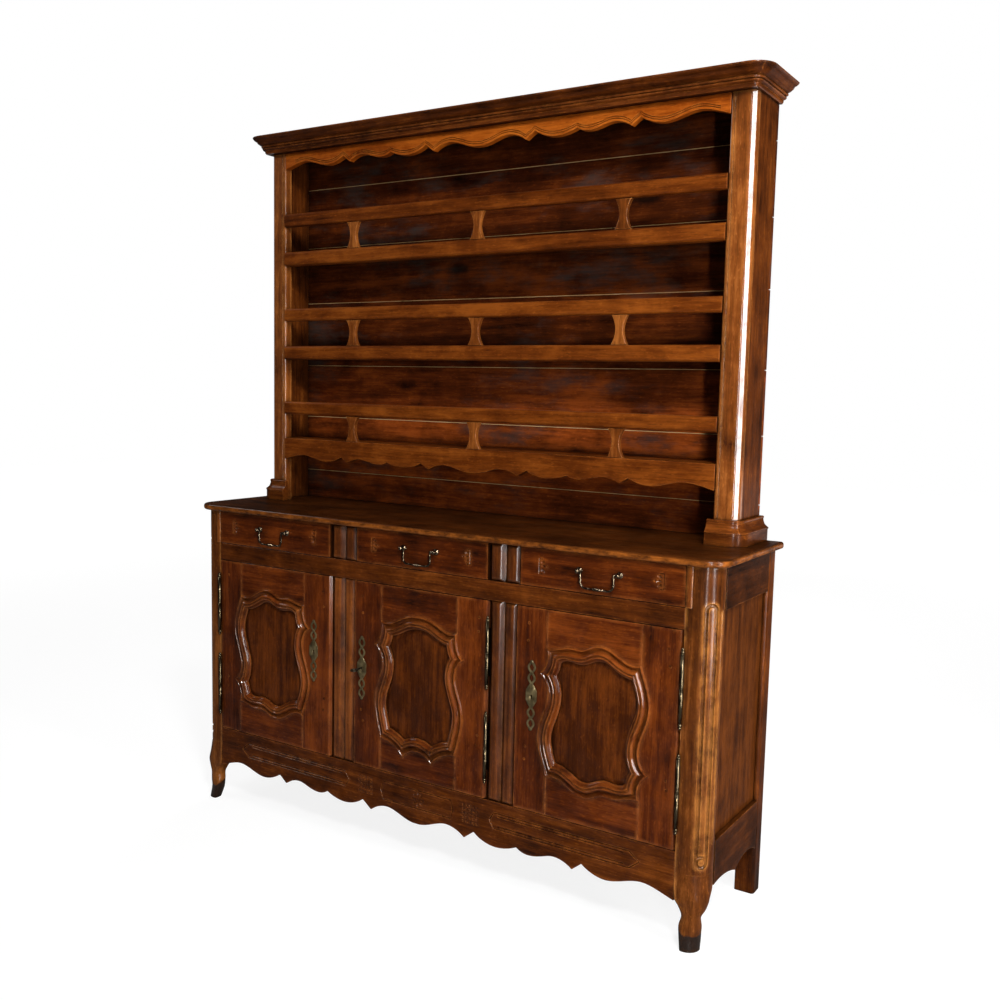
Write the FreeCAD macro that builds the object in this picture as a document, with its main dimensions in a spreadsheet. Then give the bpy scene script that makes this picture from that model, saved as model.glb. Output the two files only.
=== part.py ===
"""A kitchen dresser in oak: a base with three doors and three drawers, and a plate rack on top.

Millimetres. +X is to the right seen from the front, +Y to the back, +Z up. The origin lies on the
floor, midway between the bow of the key in front and the back boards behind.
"""
import FreeCAD
import Part
import math
import os

Vector = FreeCAD.Vector

# Driving dimensions, one cell each.
SIZES = {
    # base as a whole
    "case_width": 1860.0,
    "case_depth": 450.0,
    "base_height": 1038.0,
    "key_reach": 50.0,
    # base frame
    "frame_thick": 28.0,
    "corner_stile": 82.0,
    "corner_stile_depth": 72.0,
    "corner_round": 56.0,
    "corner_groove": 5.5,
    "corner_reed": 28.0,
    "corner_reed_bottom": 240.0,
    "corner_reed_top": 905.0,
    "side_bead": 24.0,
    "side_bead_round": 10.0,
    "side_bead_groove": 3.0,
    "rear_stile": 58.0,
    "rear_stile_depth": 48.0,
    "middle_stile": 94.0,
    "drawer_divider": 108.0,
    "stile_edge_round": 10.0,
    "stile_groove": 7.0,
    "door_sill": 260.0,
    "door_opening": 591.0,
    "middle_rail": 57.0,
    "apron_low": 122.0,
    "apron_scallop": 28.0,
    "side_rail_top": 118.0,
    "side_rail_sill": 285.0,
    "side_rail_low": 140.0,
    "side_rail_arch": 22.0,
    "panel_thick": 10.0,
    "panel_recess": 14.0,
    "panel_tongue": 8.0,
    # cabriole feet
    "foot_top": 205.0,
    "shoulder_height": 165.0,
    "knee_height": 136.0,
    "calf_height": 110.0,
    "ankle_height": 86.0,
    "hock_height": 60.0,
    "hoof_height": 38.0,
    "hoof_cleft": 6.0,
    "cleft_depth": 13.0,
    # top board
    "top_thick": 20.0,
    "top_side": 23.0,
    "top_front": 18.0,
    "top_corner": 70.0,
    "top_nose": 8.0,
    # inside the base
    "board_thick": 15.0,
    "floor_thick": 20.0,
    "shelf_height": 560.0,
    "shelf_thick": 20.0,
    "cleat_height": 25.0,
    "cleat_width": 24.0,
    "runner_height": 24.0,
    "runner_width": 30.0,
    "guide_height": 40.0,
    "guide_width": 12.0,
    "guide_gap": 1.0,
    # doors
    "door_gap": 2.0,
    "door_thick": 25.0,
    "door_stile": 103.3,
    "door_rail": 107.5,
    "opening_shift_left": 12.0,
    "opening_shift_right": -4.0,
    "moulding_width": 42.0,
    "moulding_rise": 9.5,
    "groove_depth": 8.0,
    "groove_front": 9.0,
    "groove_width": 9.0,
    "field_bevel": 15.0,
    "field_rise": 6.0,
    "panel_play": 0.3,
    # hinges
    "barrel_radius": 5.0,
    "barrel_length": 92.0,
    "barrel_front": 6.2,
    "barrel_out": 0.5,
    "pin_radius": 3.0,
    "pin_length": 50.0,
    "pin_play": 0.05,
    "bore_spare": 1.0,
    "knuckle_gap": 0.3,
    "finial_radius": 5.2,
    "finial_sink": 1.0,
    "finial_tip": 4.0,
    "tip_sink": 1.2,
    "leaf_thick": 1.5,
    "leaf_height": 70.0,
    "leaf_depth": 20.0,
    "upper_hinge": 697.0,
    "lower_hinge": 417.0,
    # locks and key
    "lock_height_side": 598.0,
    "lock_height_middle": 575.0,
    "lock_inset_left": 73.0,
    "lock_inset_middle": 31.0,
    "lock_inset_right": 52.0,
    "plate_width": 25.0,
    "plate_strand": 5.0,
    "plate_thick": 2.5,
    "plate_boss_width": 34.0,
    "plate_boss_height": 58.0,
    "plate_twist": 31.0,
    "plate_tip": 5.0,
    "keyhole_play": 0.1,
    "keyhole_slot_play": 0.6,
    "case_edge": 6.0,
    "case_behind_key": 24.0,
    "case_below_key": 26.0,
    "case_above_key": 36.0,
    "lock_depth": 17.0,
    "lock_wall": 1.5,
    "bolt_height": 12.0,
    "bolt_thick": 6.0,
    "bolt_behind": 4.2,
    "bolt_clear": 1.5,
    "bolt_play": 0.3,
    "bolt_tail": 12.0,
    "key_radius": 3.2,
    "key_bow": 10.0,
    "key_bow_wire": 2.6,
    "key_bit": 11.0,
    "key_bit_thick": 3.0,
    "key_bit_width": 7.0,
    # drawers
    "drawer_gap": 1.5,
    "drawer_front_thick": 22.0,
    "drawer_side_thick": 12.0,
    "drawer_side_drop": 12.0,
    "drawer_box_depth": 370.0,
    "drawer_bottom_thick": 8.0,
    "drawer_bottom_lift": 9.0,
    "runner_play": 0.3,
    # drawer handles
    "post_pitch": 121.0,
    "post_height": 970.0,
    "post_radius": 4.0,
    "post_plate": 9.0,
    "post_plate_thick": 2.0,
    "post_head": 6.5,
    "post_reach": 15.0,
    "bail_radius": 3.0,
    "bail_drop": 44.0,
    "bail_bend": 16.0,
    "bail_inset": 11.0,
    "bail_pin": 2.0,
    "bail_bead": 2.0,
    "bail_bead_width": 3.2,
    "bail_bead_pitch": 4.0,
    # plate rack
    "rack_height": 1262.0,
    "rack_width": 1756.0,
    "rack_depth": 182.0,
    "rack_stile": 70.0,
    "rack_stile_thick": 30.0,
    "rack_stile_round": 26.0,
    "rack_stile_bead": 6.0,
    "rack_bead_line": 1.5,
    "rack_side_thick": 24.0,
    "rack_board_thick": 14.0,
    "board_gap": 2.0,
    "frieze_drop": 57.0,
    "frieze_scallop": 24.0,
    "frieze_thick": 24.0,
    "dust_board": 16.0,
    "cornice_height": 53.0,
    "cornice_width": 53.0,
    "cornice_set": 15.0,
    "cornice_corner": 6.0,
    "corner_ease": 0.7,
    "plinth_height": 70.0,
    "plinth_width": 28.0,
    "plinth_inner": 14.0,
    "rack_shelf_thick": 18.0,
    "top_shelf": 872.0,
    "middle_shelf": 547.0,
    "bottom_shelf": 222.0,
    "shelf_front_height": 47.0,
    "shelf_front_proud": 6.0,
    "shelf_front_round": 9.0,
    "shelf_apron": 76.0,
    "shelf_apron_scallop": 20.0,
    "shelf_apron_proud": 2.0,
    "rail_above_shelf": 86.0,
    "rail_height": 44.0,
    "rail_thick": 22.0,
    "rail_proud": 5.0,
    "rail_round": 8.0,
    "baluster_pitch": 500.0,
    "baluster_width": 52.0,
    "baluster_waist": 24.0,
    "baluster_thick": 15.0,
}

doc = FreeCAD.newDocument("kitchen_dresser")
sheet = doc.addObject("Spreadsheet::Sheet", "Sizes")
for row, (alias, value) in enumerate(SIZES.items(), start=1):
    sheet.set(f"A{row}", str(value))
    sheet.setAlias(f"A{row}", alias)
doc.recompute()


class Length:
    """A length as an expression on the sheet's cells, with its number of millimetres."""

    def __init__(self, text, mm):
        self.text = text
        self.mm = mm

    def __add__(self, other):
        other = as_length(other)
        return Length(f"({self.text} + {other.text})", self.mm + other.mm)

    def __sub__(self, other):
        other = as_length(other)
        return Length(f"({self.text} - {other.text})", self.mm - other.mm)

    def __mul__(self, factor):
        factor = as_length(factor)
        return Length(f"({self.text} * {factor.text})", self.mm * factor.mm)

    def __truediv__(self, factor):
        factor = as_length(factor)
        return Length(f"({self.text} / {factor.text})", self.mm / factor.mm)

    def __rsub__(self, other):
        return as_length(other) - self

    def __neg__(self):
        return as_length(0) - self

    def __float__(self):
        return self.mm

    __radd__ = __add__
    __rmul__ = __mul__


def as_length(value):
    """A plain number stands in an expression as itself."""
    if isinstance(value, Length):
        return value
    return Length(repr(float(value)), float(value))


class Sheet:
    """The sheet's cells as lengths, by their aliases."""


for alias in SIZES:
    setattr(Sheet, alias, Length(f"Sizes.{alias}", float(getattr(sheet, alias))))
s = Sheet

# Places that the driving dimensions give.
half = s.case_width / 2
front = (s.key_reach - s.case_depth) / 2
back = front + s.case_depth
case_top = s.base_height - s.top_thick
opening_half = half - s.corner_stile
bay = (opening_half * 2 - s.middle_stile * 2) / 3
bay_centre = bay + s.middle_stile
divider_centre = bay_centre / 2
door_head = s.door_sill + s.door_opening
drawer_sill = door_head + s.middle_rail
board_front = back - s.board_thick
rack_front = back - s.rack_depth
rack_half = s.rack_width / 2
rack_opening = rack_half - s.rack_stile
rack_top = s.base_height + s.rack_height - s.cornice_height
rack_board_front = back - s.rack_board_thick

nodes = []


def box(name, x, y, z):
    """A squared board between two planes in each direction."""
    board = doc.addObject("Part::Box", name)
    for size, axis, (low, high) in zip(("Length", "Width", "Height"), "xyz", (x, y, z)):
        board.setExpression(size, (as_length(high) - low).text)
        board.setExpression(f".Placement.Base.{axis}", as_length(low).text)
    return board


def turned(kind, name, sizes, centre, axis=Vector(0, 0, 1)):
    """A turned solid (Cylinder, Sphere or Torus) at a point, about an axis."""
    solid = doc.addObject(f"Part::{kind}", name)
    turn = FreeCAD.Rotation(Vector(0, 0, 1), axis)
    solid.Placement = FreeCAD.Placement(Vector(), turn)
    for size, value in sizes.items():
        solid.setExpression(size, as_length(value).text)
    for coordinate, value in zip("xyz", centre):
        solid.setExpression(f".Placement.Base.{coordinate}", as_length(value).text)
    return solid


def rod(name, radius, length, start, axis=Vector(0, 0, 1)):
    """A round bar from its start along an axis."""
    return turned("Cylinder", name, {"Radius": radius, "Height": length}, start, axis)


def ball(name, radius, centre):
    return turned("Sphere", name, {"Radius": radius}, centre)


def cut(name, base, tool):
    result = doc.addObject("Part::Cut", name)
    result.Base = base
    result.Tool = tool
    return result


def fuse(name, *pieces):
    result = doc.addObject("Part::MultiFuse", name)
    result.Shapes = list(pieces)
    return result


def group(name, *pieces):
    result = doc.addObject("Part::Compound", name)
    result.Links = list(pieces)
    return result


def mirrored(name, source, about=0):
    """The same piece on the other side of an upright plane across the dresser's width."""
    result = doc.addObject("Part::Mirroring", name)
    result.Source = source
    result.setExpression("Base.x", as_length(about).text)
    result.Normal = Vector(1, 0, 0)
    return result


def solid(name, shape, place=Vector(0, 0, 0)):
    """A piece whose outline no primitive gives."""
    result = doc.addObject("Part::Feature", name)
    result.Shape = shape
    result.Placement = FreeCAD.Placement(place, FreeCAD.Rotation())
    return result


def rounded(name, base, radius, wanted):
    """Round the edges of a piece whose middle point is wanted."""
    doc.recompute()
    edges = []
    for index, edge in enumerate(base.Shape.Edges, start=1):
        middle = edge.valueAt((edge.FirstParameter + edge.LastParameter) / 2)
        if wanted(middle):
            edges.append((index, float(radius), float(radius)))
    result = doc.addObject("Part::Fillet", name)
    result.Base = base
    result.Edges = edges
    return result


def node(label, *pieces):
    """Name a sub-part: one solid, or a group of like solids."""
    piece = pieces[0] if len(pieces) == 1 else group(f"{label}_group", *pieces)
    piece.Label = label
    nodes.append(piece)
    return piece


NEAR = 0.01


def near(value, length):
    return abs(value - float(length)) < NEAR


def point(x, y, z):
    return Vector(float(x), float(y), float(z))


def stretch(points):
    """One smooth stretch of an outline through its points."""
    if len(points) == 2:
        return Part.LineSegment(*points).toShape()
    curve = Part.BSplineCurve()
    curve.interpolate(points)
    return curve.toShape()


def extruded(edges, along):
    return Part.Face(Part.Wire(Part.__sortEdges__(edges))).extrude(along)


# Corner stiles: the post of each front corner, rounded and reeded on its outer edge, and running
# down into a cabriole foot that ends in a cloven hoof.
def rounded_rectangle(x, y, z, radii):
    """A closed section between two places each way, each corner with its own quarter round."""
    low_x, high_x = x
    low_y, high_y = y
    outer, rear_outer, rear_inner, inner = radii
    corners = (
        (high_x - outer, low_y + outer, outer, -90),
        (high_x - rear_outer, high_y - rear_outer, rear_outer, 0),
        (low_x + rear_inner, high_y - rear_inner, rear_inner, 90),
        (low_x + inner, low_y + inner, inner, 180),
    )
    edges = []
    for cx, cy, radius, start in corners:
        arc = Part.ArcOfCircle(
            Part.Circle(Vector(cx, cy, z), Vector(0, 0, 1), radius),
            math.radians(start),
            math.radians(start + 90),
        ).toShape()
        edges.append(arc)
    wire = []
    for index, arc in enumerate(edges):
        following = edges[(index + 1) % len(edges)]
        end = arc.valueAt(arc.LastParameter)
        begin = following.valueAt(following.FirstParameter)
        wire.append(arc)
        wire.append(Part.LineSegment(end, begin).toShape())
    return Part.Wire(wire)


# The foot's sections from the post down to the sole. Across and deep are shares of the post's width and
# depth, counted outwards from its inner edge and back from its front; the rounds are shares of the
# width, for the outer, rear outer, rear inner and inner corners.
FOOT = (
    (s.foot_top, (0.0, 1.0), (0.0, 1.0), (0.68, 0.12, 0.01, 0.01)),
    (s.shoulder_height, (0.0, 1.024), (-0.04, 1.0), (0.61, 0.17, 0.02, 0.02)),
    (s.knee_height, (0.0, 1.037), (-0.055, 0.83), (0.49, 0.28, 0.1, 0.07)),
    (s.calf_height, (0.135, 0.963), (-0.014, 0.69), (0.39, 0.22, 0.17, 0.15)),
    (s.ankle_height, (0.22, 0.83), (0.0, 0.61), (0.29, 0.22, 0.24, 0.2)),
    (s.hock_height, (0.17, 0.854), (-0.055, 0.583), (0.41, 0.14, 0.29, 0.15)),
    (s.hoof_height, (0.195, 0.83), (-0.083, 0.64), (0.46, 0.15, 0.39, 0.15)),
    (0, (0.28, 0.841), (-0.153, 0.486), (0.41, 0.11, 0.37, 0.11)),
)


FOOT_STEPS = 4


def eased(heights, values):
    """Values between those given, on a curve that never passes beyond its neighbours."""
    secants = [
        (after - before) / (lower - upper)
        for before, after, upper, lower in zip(values, values[1:], heights, heights[1:])
    ]
    slopes = [0.0]
    for before, after in zip(secants, secants[1:]):
        same_way = before * after > 0
        slopes.append(2 * before * after / (before + after) if same_way else 0.0)
    slopes.append(secants[-1])
    result = []
    for i, secant in enumerate(secants):
        span = heights[i + 1] - heights[i]
        for step in range(FOOT_STEPS):
            t = step / FOOT_STEPS
            bend = (slopes[i] - secant) * (1 - t) - (slopes[i + 1] - secant) * t
            result.append(values[i] + span * t * (secant + (1 - t) * bend))
    return result + [values[-1]]


def foot_shape():
    """The leg below the post: shoulder, knee, calf, ankle, hock and hoof, lofted."""
    wide = float(s.corner_stile)
    depth = float(s.corner_stile_depth)
    ease = float(s.corner_ease) / 2
    rows = [(float(height), *across, *deep, *rounds) for height, across, deep, rounds in FOOT]
    heights = [row[0] for row in rows]
    columns = [eased(heights, column) for column in zip(*rows)]
    wires = []
    for height, inner, outer, fore, aft, *rounds in zip(*columns):
        x = (float(opening_half) + inner * wide + ease, float(opening_half) + outer * wide - ease)
        y = (float(front) + fore * depth + ease, float(front) + aft * depth - ease)
        wires.append(rounded_rectangle(x, y, height, [share * wide for share in rounds]))
    return Part.makeLoft(wires, True, True)


def cleft_shape():
    """The split between the two toes, open to the outer front corner."""
    _, across, deep, rounds = FOOT[-1]
    radius = rounds[0] * float(s.corner_stile)
    toe = radius * math.sqrt(0.5)
    centre = point(
        opening_half + s.corner_stile * across[1] - radius + toe,
        front + s.corner_stile_depth * deep[0] + radius - toe,
        0,
    )
    length = float(s.cleft_depth) * 2
    wide = float(s.hoof_cleft)
    tall = float(s.hoof_height)
    wedge = Part.makeWedge(0, -wide / 2, 0, 0, 0, length, wide / 2, tall, 0, length)
    wedge.rotate(Vector(), Vector(0, 0, 1), -45)
    inward = Vector(-1, 1, 0).normalize() * float(s.cleft_depth)
    wedge.translate(centre + inward)
    return wedge


def corner_flutes():
    """The two grooves that leave a reed on the rounded corner: an arch above, a button below."""
    round_r = float(s.corner_round)
    centre = point(half - s.corner_round, front + s.corner_round, 0)
    spread = float(s.corner_reed) / 2 / round_r
    groove = float(s.corner_groove)
    low = float(s.corner_reed_bottom)
    high = float(s.corner_reed_top)
    tools = []
    for side in (-1, 1):
        angle = math.radians(-45) + side * spread
        foot = centre + Vector(math.cos(angle), math.sin(angle), 0) * round_r
        tools.append(Part.makeCylinder(groove, high - low, foot + Vector(0, 0, low)))
    outward = Vector(1, -1, 0).normalize()
    depth = round_r * math.cos(spread)
    ring_r = float(s.corner_reed) / 2
    for height in (low, high):
        middle = centre + outward * depth + Vector(0, 0, height)
        tools.append(Part.makeTorus(ring_r, groove, middle, outward))
    above = Part.makeBox(4 * round_r, 4 * round_r, round_r)
    above.translate(centre + Vector(-2 * round_r, -2 * round_r, high))
    tools[-1] = tools[-1].common(above)
    return tools


post = box(
    "corner_post",
    (opening_half, half),
    (front, front + s.corner_stile_depth),
    (s.foot_top, case_top),
)
post = rounded(
    "corner_post_round",
    post,
    s.corner_round,
    lambda p: near(p.x, half) and near(p.y, front),
)
post = rounded(
    "corner_post_bead",
    post,
    s.side_bead_round,
    lambda p: near(p.x, half) and near(p.y, front + s.corner_stile_depth),
)
bead_line = rod(
    "corner_bead_line",
    s.side_bead_groove,
    case_top - s.side_rail_sill - s.side_rail_top,
    (half, front + s.corner_stile_depth - s.side_bead, s.side_rail_sill),
)
foot = solid("corner_foot", foot_shape())
cleft = solid("hoof_cleft", cleft_shape())
flutes = [solid(f"corner_flute_{i}", tool) for i, tool in enumerate(corner_flutes())]
flute_tools = fuse("corner_flutes", *flutes)
side_panel = box(
    "side_panel_right",
    (half - s.panel_recess - s.panel_thick, half - s.panel_recess),
    (
        front + s.corner_stile_depth - s.panel_tongue,
        back - s.rear_stile_depth + s.panel_tongue,
    ),
    (s.side_rail_sill - s.panel_tongue, case_top - s.side_rail_top + s.panel_tongue),
)
stile = fuse("corner_stile_blank", post, foot)
stile = cut("corner_stile_cloven", stile, cleft)
stile = cut("corner_stile_fluted", stile, flute_tools)
stile = cut("corner_stile_lined", stile, bead_line)
stile = cut("corner_stile_right", stile, side_panel)
node("corner_stiles", stile, mirrored("corner_stile_left", stile))

# Rear stiles: plain posts that reach the floor, beaded along the panel.
rear = box(
    "rear_post",
    (half - s.rear_stile, half),
    (back - s.rear_stile_depth, back),
    (0, case_top),
)
rear = rounded(
    "rear_post_bead",
    rear,
    s.side_bead_round,
    lambda p: near(p.x, half) and near(p.y, back - s.rear_stile_depth),
)
rear = cut("rear_stile_right", rear, side_panel)
node("rear_stiles", rear, mirrored("rear_stile_left", rear))


# Side frames: a top rail, an arched bottom rail and a panel in their grooves.
def side_rail_shape():
    """The bottom side rail: two shallow arches on its lower edge, with a point between."""
    y0 = float(front + s.corner_stile_depth)
    y1 = float(back - s.rear_stile_depth)
    middle = (y0 + y1) / 2
    low = float(s.side_rail_low)
    crown = low + float(s.side_rail_arch)
    top = float(s.side_rail_sill)
    x = float(half - s.frame_thick)
    spring = Vector(x, middle, low)
    arches = [
        stretch([Vector(x, y0, crown), Vector(x, (y0 + middle) / 2, crown), spring]),
        stretch([spring, Vector(x, (middle + y1) / 2, crown), Vector(x, y1, low)]),
    ]
    sides = [
        Part.LineSegment(Vector(x, y1, low), Vector(x, y1, top)).toShape(),
        Part.LineSegment(Vector(x, y1, top), Vector(x, y0, top)).toShape(),
        Part.LineSegment(Vector(x, y0, top), Vector(x, y0, crown)).toShape(),
    ]
    return extruded(arches + sides, Vector(float(s.frame_thick), 0, 0))


between_stiles = (front + s.corner_stile_depth, back - s.rear_stile_depth)
side_top = box(
    "side_top_blank",
    (half - s.frame_thick, half),
    between_stiles,
    (case_top - s.side_rail_top, case_top),
)
side_top = cut("side_top_right", side_top, side_panel)
side_low = cut("side_low_right", solid("side_low_blank", side_rail_shape()), side_panel)
node(
    "side_rails",
    side_top,
    side_low,
    mirrored("side_top_left", side_top),
    mirrored("side_low_left", side_low),
)
node("side_panels", side_panel, mirrored("side_panel_left", side_panel))


# Middle stiles and drawer dividers: each worked as two flat bands with rounded edges and a groove
# between them.
def banded_stile(name, width, z):
    low = divider_centre - width / 2
    high = divider_centre + width / 2
    board = box(f"{name}_board", (low, high), (front, front + s.frame_thick), z)
    board = rounded(f"{name}_edges", board, s.stile_edge_round, lambda p: near(p.y, front))
    line = rod(f"{name}_line", s.stile_groove, z[1] - z[0], (divider_centre, front, z[0]))
    return cut(f"{name}_right", board, line)


middle_stile = banded_stile("middle_stile", s.middle_stile, (s.door_sill, door_head))
divider = banded_stile("drawer_divider", s.drawer_divider, (drawer_sill, case_top))
node(
    "front_muntins",
    middle_stile,
    divider,
    mirrored("middle_stile_left", middle_stile),
    mirrored("drawer_divider_left", divider),
)

node(
    "middle_rail",
    box(
        "middle_rail_board",
        (-opening_half, opening_half),
        (front, front + s.frame_thick),
        (door_head, drawer_sill),
    ),
)

# Scalloped edges: the apron, the rack's frieze and its lowest shelf apron all carry this pattern.
# Each half of the edge is a row of stretches that meet in points; along is the share of the half
# length and drop the share of the scallop's depth, from the high line down.
SCALLOP = (
    ((0.0, 1.0), (0.06, 0.66), (0.13, 0.05), (0.175, 0.3), (0.21, 0.92)),
    ((0.21, 0.92), (0.25, 0.0)),
    ((0.25, 0.0), (0.285, 0.62), (0.34, 0.95), (0.39, 0.72), (0.425, 0.3)),
    ((0.425, 0.3), (0.48, 0.75), (0.52, 0.5), (0.565, 0.12), (0.605, 0.28), (0.64, 0.85)),
    ((0.64, 0.85), (0.675, 0.0)),
    ((0.675, 0.0), (0.71, 0.6), (0.762, 0.92), (0.82, 0.55), (0.89, 0.04), (0.95, 0.4), (1.0, 0.9)),
)


def scalloped_board(half_length, top, high_line, depth, thick):
    """A board whose lower edge carries the scallops, mirrored about its middle."""

    def right(along, drop):
        return Vector(along * half_length, 0, high_line - drop * depth)

    def left(along, drop):
        return Vector(-along * half_length, 0, high_line - drop * depth)

    edges = []
    for place in (right, left):
        for points in SCALLOP:
            edges.append(stretch([place(*pair) for pair in points]))
    end = right(*SCALLOP[-1][-1])
    other = left(*SCALLOP[-1][-1])
    edges.append(Part.LineSegment(end, Vector(end.x, 0, top)).toShape())
    edges.append(Part.LineSegment(Vector(end.x, 0, top), Vector(other.x, 0, top)).toShape())
    edges.append(Part.LineSegment(Vector(other.x, 0, top), other).toShape())
    return extruded(edges, Vector(0, thick, 0))


apron = scalloped_board(
    float(opening_half),
    float(s.door_sill),
    float(s.apron_low + s.apron_scallop),
    float(s.apron_scallop),
    float(s.frame_thick),
)
node("apron_rail", solid("apron_board", apron, point(0, front, 0)))

# Back of the base: upright boards between the rear stiles, with an open joint between each two.
BASE_BOARDS = 6
board_pitch = ((half - s.rear_stile) * 2 + s.board_gap) / BASE_BOARDS
base_boards = []
for index in range(BASE_BOARDS):
    low = s.rear_stile - half + board_pitch * index
    base_boards.append(
        box(
            f"base_board_{index + 1}",
            (low, low + board_pitch - s.board_gap),
            (board_front, back),
            (s.side_rail_low, case_top),
        )
    )
node("base_back_boards", *base_boards)

# Cupboard floor: three planks notched round the stiles by their lengths.
floor_z = (s.door_sill - s.floor_thick, s.door_sill)
inner_front = front + s.frame_thick
stile_back = front + s.corner_stile_depth
rear_front = back - s.rear_stile_depth
node(
    "cupboard_floor",
    box("floor_front", (-opening_half, opening_half), (inner_front, stile_back), floor_z),
    box(
        "floor_middle",
        (s.frame_thick - half, half - s.frame_thick),
        (stile_back, rear_front),
        floor_z,
    ),
    box(
        "floor_rear",
        (s.rear_stile - half, half - s.rear_stile),
        (rear_front, board_front),
        floor_z,
    ),
)

# Inner shelf on a cleat at each end.
panel_inner = half - s.panel_recess - s.panel_thick
shelf_low = s.shelf_height - s.shelf_thick
node(
    "cupboard_shelf",
    box(
        "inner_shelf_board",
        (-panel_inner, panel_inner),
        (stile_back, rear_front),
        (shelf_low, s.shelf_height),
    ),
)
cleat = box(
    "shelf_cleat_right",
    (panel_inner - s.cleat_width, panel_inner),
    (stile_back, rear_front),
    (shelf_low - s.cleat_height, shelf_low),
)
node("shelf_cleats", cleat, mirrored("shelf_cleat_left", cleat))

# Drawer bays: the middle one lies between the dividers, the outer ones reach the corner stiles.
middle_bay = (s.drawer_divider / 2 - divider_centre, divider_centre - s.drawer_divider / 2)
right_bay = (divider_centre + s.drawer_divider / 2, opening_half)


# Runners: one under each side of each drawer, with a guide standing on it beside the drawer.
def runner_pair(name, drawer_bay):
    low, high = drawer_bay
    pieces = []
    depth = (inner_front, board_front)
    below = (drawer_sill - s.runner_height, drawer_sill)
    above = (drawer_sill, drawer_sill + s.guide_height)
    runner_places = {"left": (low, low + s.runner_width), "right": (high - s.runner_width, high)}
    guide_places = {"left": (low, low + s.guide_width), "right": (high - s.guide_width, high)}
    for side in ("left", "right"):
        pieces.append(box(f"{name}_runner_{side}", runner_places[side], depth, below))
        pieces.append(box(f"{name}_guide_{side}", guide_places[side], depth, above))
    return pieces


runners = runner_pair("middle", middle_bay)
right_runners = runner_pair("right", right_bay)
runners += right_runners
runners += [mirrored(f"left_{piece.Name}", piece) for piece in right_runners]
node("drawer_runners", *runners)

# Top board: rounded front corners and a nosed edge on the front and the ends.
top = box(
    "top_blank",
    (-half - s.top_side, half + s.top_side),
    (front - s.top_front, back),
    (case_top, s.base_height),
)
top = rounded(
    "top_corners",
    top,
    s.top_corner,
    lambda p: near(abs(p.x), half + s.top_side) and near(p.y, front - s.top_front),
)
top = rounded(
    "top_nosed",
    top,
    s.top_nose,
    lambda p: (near(p.z, case_top) or near(p.z, s.base_height)) and not near(p.y, back),
)
node("top_board", top)


# Pin hinges: slim barrels with turned ends, in two halves. The stile's half carries the pin and the
# door's half drops over it; each half has a leaf screwed to its own edge.
def hinge_half(name, x, middle, up, leaf_x):
    """A barrel from the hinge's middle, upwards (the door's half) or downwards (the stile's)."""
    y = front - s.barrel_front
    way = 1 if up else -1
    near_end = middle + s.knuckle_gap if up else middle
    far_end = near_end + s.barrel_length * way
    finial = far_end + (s.finial_radius - s.finial_sink) * way
    tip = finial + (s.finial_radius + s.finial_tip - s.tip_sink) * way
    barrel_low = near_end if up else far_end
    leaf_low = near_end if up else near_end - s.leaf_height
    pieces = [
        rod(f"{name}_barrel", s.barrel_radius, s.barrel_length, (x, y, barrel_low)),
        ball(f"{name}_finial", s.finial_radius, (x, y, finial)),
        ball(f"{name}_tip", s.finial_tip, (x, y, tip)),
        box(
            f"{name}_leaf",
            leaf_x,
            (y, front + s.leaf_depth),
            (leaf_low, leaf_low + s.leaf_height),
        ),
    ]
    if not up:
        pieces.append(rod(f"{name}_pin", s.pin_radius, s.pin_length, (x, y, middle)))
        return fuse(name, *pieces)
    body = fuse(f"{name}_body", *pieces)
    bore_radius = s.pin_radius + s.pin_play
    bore = rod(f"{name}_bore", bore_radius, s.pin_length + s.bore_spare, (x, y, middle))
    return cut(name, body, bore)


def hinge_pair(door, edge):
    """Both hinges of a door that hangs on its right-hand edge."""
    pivot = edge + s.barrel_out
    door_halves = []
    stile_halves = []
    heights = (("upper", s.upper_hinge), ("lower", s.lower_hinge))
    for name, middle in heights:
        stile_halves.append(
            hinge_half(
                f"{door}_{name}_pin_half",
                pivot,
                middle,
                False,
                (edge - s.leaf_thick, edge),
            )
        )
        door_halves.append(
            hinge_half(
                f"{door}_{name}_door_half",
                pivot,
                middle,
                True,
                (edge - s.door_gap, edge - s.door_gap + s.leaf_thick),
            )
        )
    return stile_halves, door_halves


right_pins, right_knuckles = hinge_pair("right", opening_half)
middle_pins, middle_knuckles = hinge_pair("middle", bay / 2)
left_pins = [mirrored(f"left_{piece.Name}", piece) for piece in right_pins]
left_knuckles = [mirrored(f"left_{piece.Name}", piece) for piece in right_knuckles]
node("hinge_pins", *right_pins, *middle_pins, *left_pins)

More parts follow.
